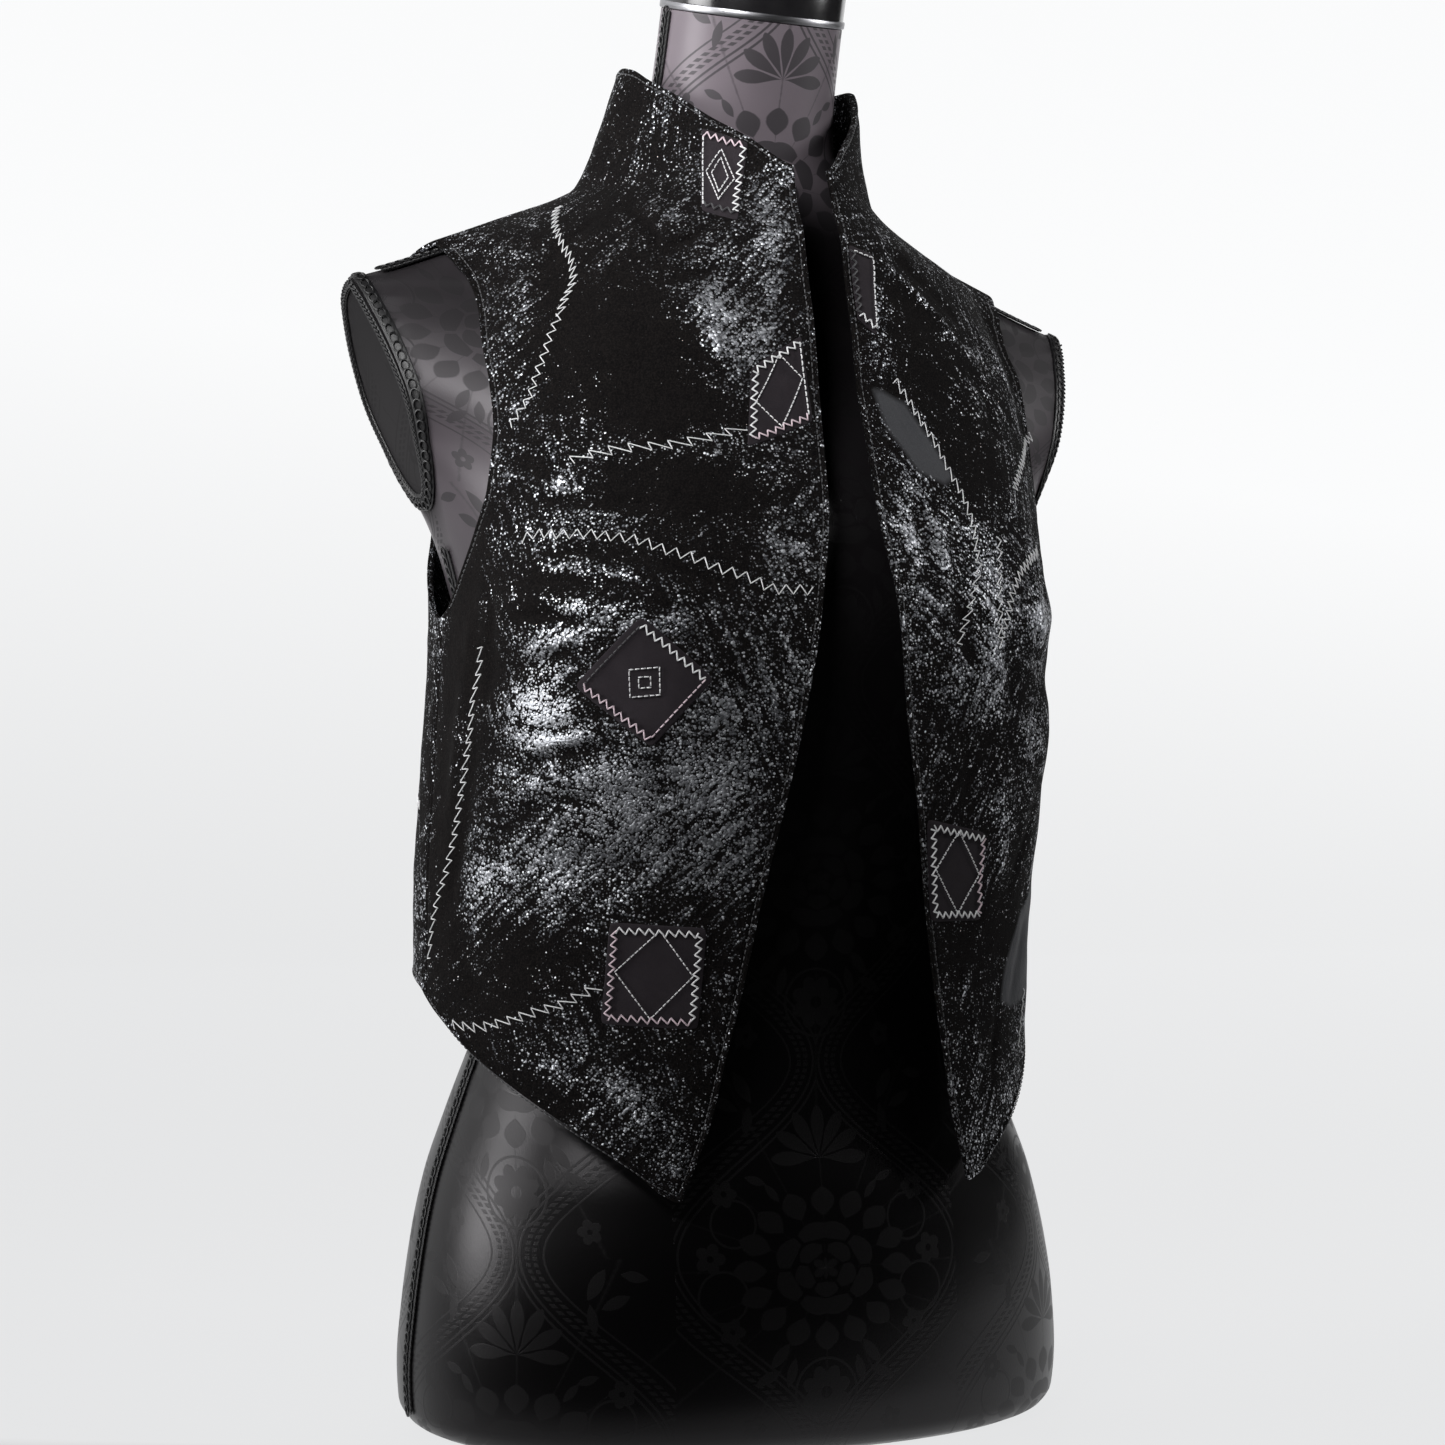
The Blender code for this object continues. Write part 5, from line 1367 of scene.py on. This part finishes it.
for side, hand in ((-1, "right"), (1, "left")):
    for part, *stretch in (("side", 0.011, 0.425, 0.004), ("shoulder", 0.562, 0.6985, 0.0022)):
        heights = runs_of(stretch)
        line, outs = form_line(side * pi / 2 + 0 * heights, heights)
        bundle = Bundle()
        tape(bundle, line, outs, half_width=0.0045, lift=0.0002)
        rings(bundle, line, outs, pitch=0.0050, radius=0.0021, thread=0.00048, lift=TAPE_THICK + 0.0006)
        for offset in (-0.0036, 0.0036):
            rings(bundle, line, outs, pitch=0.0027, radius=0.0009, thread=0.00032, lift=TAPE_THICK,
                  offset=offset)
        node = f"braid_{part}_{hand}"
        stands_for(bundle.build(node + "_gimp"), node, gimp)

    # The band round the arm plate: one tape on the body beside the rim and one on the plate inside it
    rim_line = arm_rim(side)
    rim_line = smoothed(np.concatenate([rim_line, rim_line[:1]]), 0.0025)[:-1]
    plate_out = np.array((side * cos(PLATE_SLANT), 0, -sin(PLATE_SLANT)))
    inward = unit(np.cross(plate_out, unit(np.roll(rim_line, -2, axis=0) - np.roll(rim_line, 2, axis=0))))
    inward *= np.sign(((rim_line.mean(axis=0) - rim_line) * inward).sum(axis=1))[:, None]
    body_spots = []
    body_outs = []
    for spot, inside in zip(rim_line, inward):
        where, out = uncut_tree.find_nearest(Vector(spot - plate_out * 0.0038 - inside * 0.001))[:2]
        body_spots.append(where)
        body_outs.append(-out if out.dot(Vector(inside)) > 0 else out)
    closed = np.arange(len(rim_line) + 1) % len(rim_line)
    body_band = np.array(body_spots)[closed], np.array(body_outs)[closed]
    plate_band = (rim_line + inward * 0.0020)[closed], np.tile(plate_out, (len(closed), 1))
    bundle = Bundle()
    tape(bundle, *body_band, half_width=0.0032, lift=0.0004)
    tape(bundle, *plate_band, half_width=0.0021, lift=0.0004)
    lift = TAPE_THICK + 0.0009
    rings(bundle, *body_band, pitch=0.0050, radius=0.0021, thread=0.00050, lift=lift, closed=True)
    plait(bundle, *plate_band, pitch=0.0027, half_width=0.0019, thread=0.00055, lift=lift)
    node = f"braid_arm_{hand}"
    stands_for(bundle.build(node + "_gimp"), node, gimp)

# Studio
# A pale sweep, three soft boxes at the sides, and a camera level with the waist, a little to the wearer's
# right of the middle.

AZIMUTH = radians(-24.5)
ELEVATION = radians(1.0)
ROLL = radians(1.5)
DISTANCE = 1.6
LENS = 79.84
TARGET = Vector((-0.0155, 0.0, 0.3445))

toward = Vector((sin(AZIMUTH) * cos(ELEVATION), -cos(AZIMUTH) * cos(ELEVATION), sin(ELEVATION)))
right = Vector((cos(AZIMUTH), sin(AZIMUTH), 0.0))
upward = toward.cross(right)
rolled_right = right * cos(ROLL) + upward * sin(ROLL)
rolled_up = upward * cos(ROLL) - right * sin(ROLL)
camera_data = bpy.data.cameras.new("camera")
camera_data.lens = LENS
camera_data.sensor_width = 36.0
camera = bpy.data.objects.new("camera", camera_data)
bpy.context.scene.collection.objects.link(camera)
axes = Matrix((rolled_right, rolled_up, toward)).transposed().to_4x4()
camera.matrix_world = Matrix.Translation(TARGET + toward * DISTANCE) @ axes
bpy.context.scene.camera = camera

# The sweep's floor, just under the base, its bend behind the form, and the wall above it, as y and z
SWEEP_DROP = 0.0002
BEND_AT = 2.2
BEND = 0.8
sweep_line = [(y_at, -SWEEP_DROP) for y_at in np.linspace(-4.0, BEND_AT, 32)]
sweep_line += [(BEND_AT + BEND * sin(t), BEND - BEND * cos(t) - SWEEP_DROP)
               for t in np.linspace(0.1, pi / 2, 12)]
sweep_line += [(BEND_AT + BEND, 5.0)]
points = [(x_at, y_at, z_at) for y_at, z_at in sweep_line for x_at in (-5.0, 5.0)]
faces = [(2 * i, 2 * i + 1, 2 * i + 3, 2 * i + 2) for i in range(len(sweep_line) - 1)]
sweep = mesh_of("studio_sweep", points, faces)

# The sweep glows by itself, but hardly in front of the picture, where it would light the vest's opening
paper = Look("pale_paper")
across_floor, behind, above = paper.split(paper.place)
depth = across_floor * 0.415 + behind * 0.91
in_picture = (depth + 0.15).over(0.0, 0.05)
lit = paper.blend(in_picture, (0.01, 0.01, 0.01), (0.57, 0.575, 0.585))
lit = paper.blend((above + across_floor * 0.10).over(0.0, 0.9) * in_picture, lit, (0.945, 0.95, 0.955))
paper.feed(Base_Color=(0.06, 0.06, 0.061, 1.0), Roughness=0.95, IOR=1.1,
           Emission_Color=lit, Emission_Strength=1.0)
sweep.data.materials.append(paper.material)

world = bpy.data.worlds.new("studio_world")
world.use_nodes = True
background = world.node_tree.nodes["Background"]
background.inputs["Color"].default_value = (1.0, 1.0, 1.0, 1.0)
background.inputs["Strength"].default_value = 0.006
bpy.context.scene.world = world
bpy.context.scene.view_settings.view_transform = "Standard"


def soft_box(name, spot, aim, width, height, power, spread):
    light = bpy.data.lights.new(name, "AREA")
    light.shape = "RECTANGLE"
    light.size = width
    light.size_y = height
    light.energy = power
    light.spread = radians(spread)
    item = bpy.data.objects.new(name, light)
    bpy.context.scene.collection.objects.link(item)
    item.location = spot
    item.rotation_euler = (Vector(aim) - Vector(spot)).to_track_quat("-Z", "Y").to_euler()


soft_box("box_left", (-0.85, -0.80, 1.12), (0, 0, 0.74), 0.50, 0.56, 2.5, 58)
soft_box("box_side", (-1.15, 0.10, 0.72), (0, 0, 0.46), 0.70, 1.00, 3.0, 60)
soft_box("box_right", (1.20, -0.55, 1.05), (0, 0, 0.66), 0.40, 0.60, 1.3, 55)
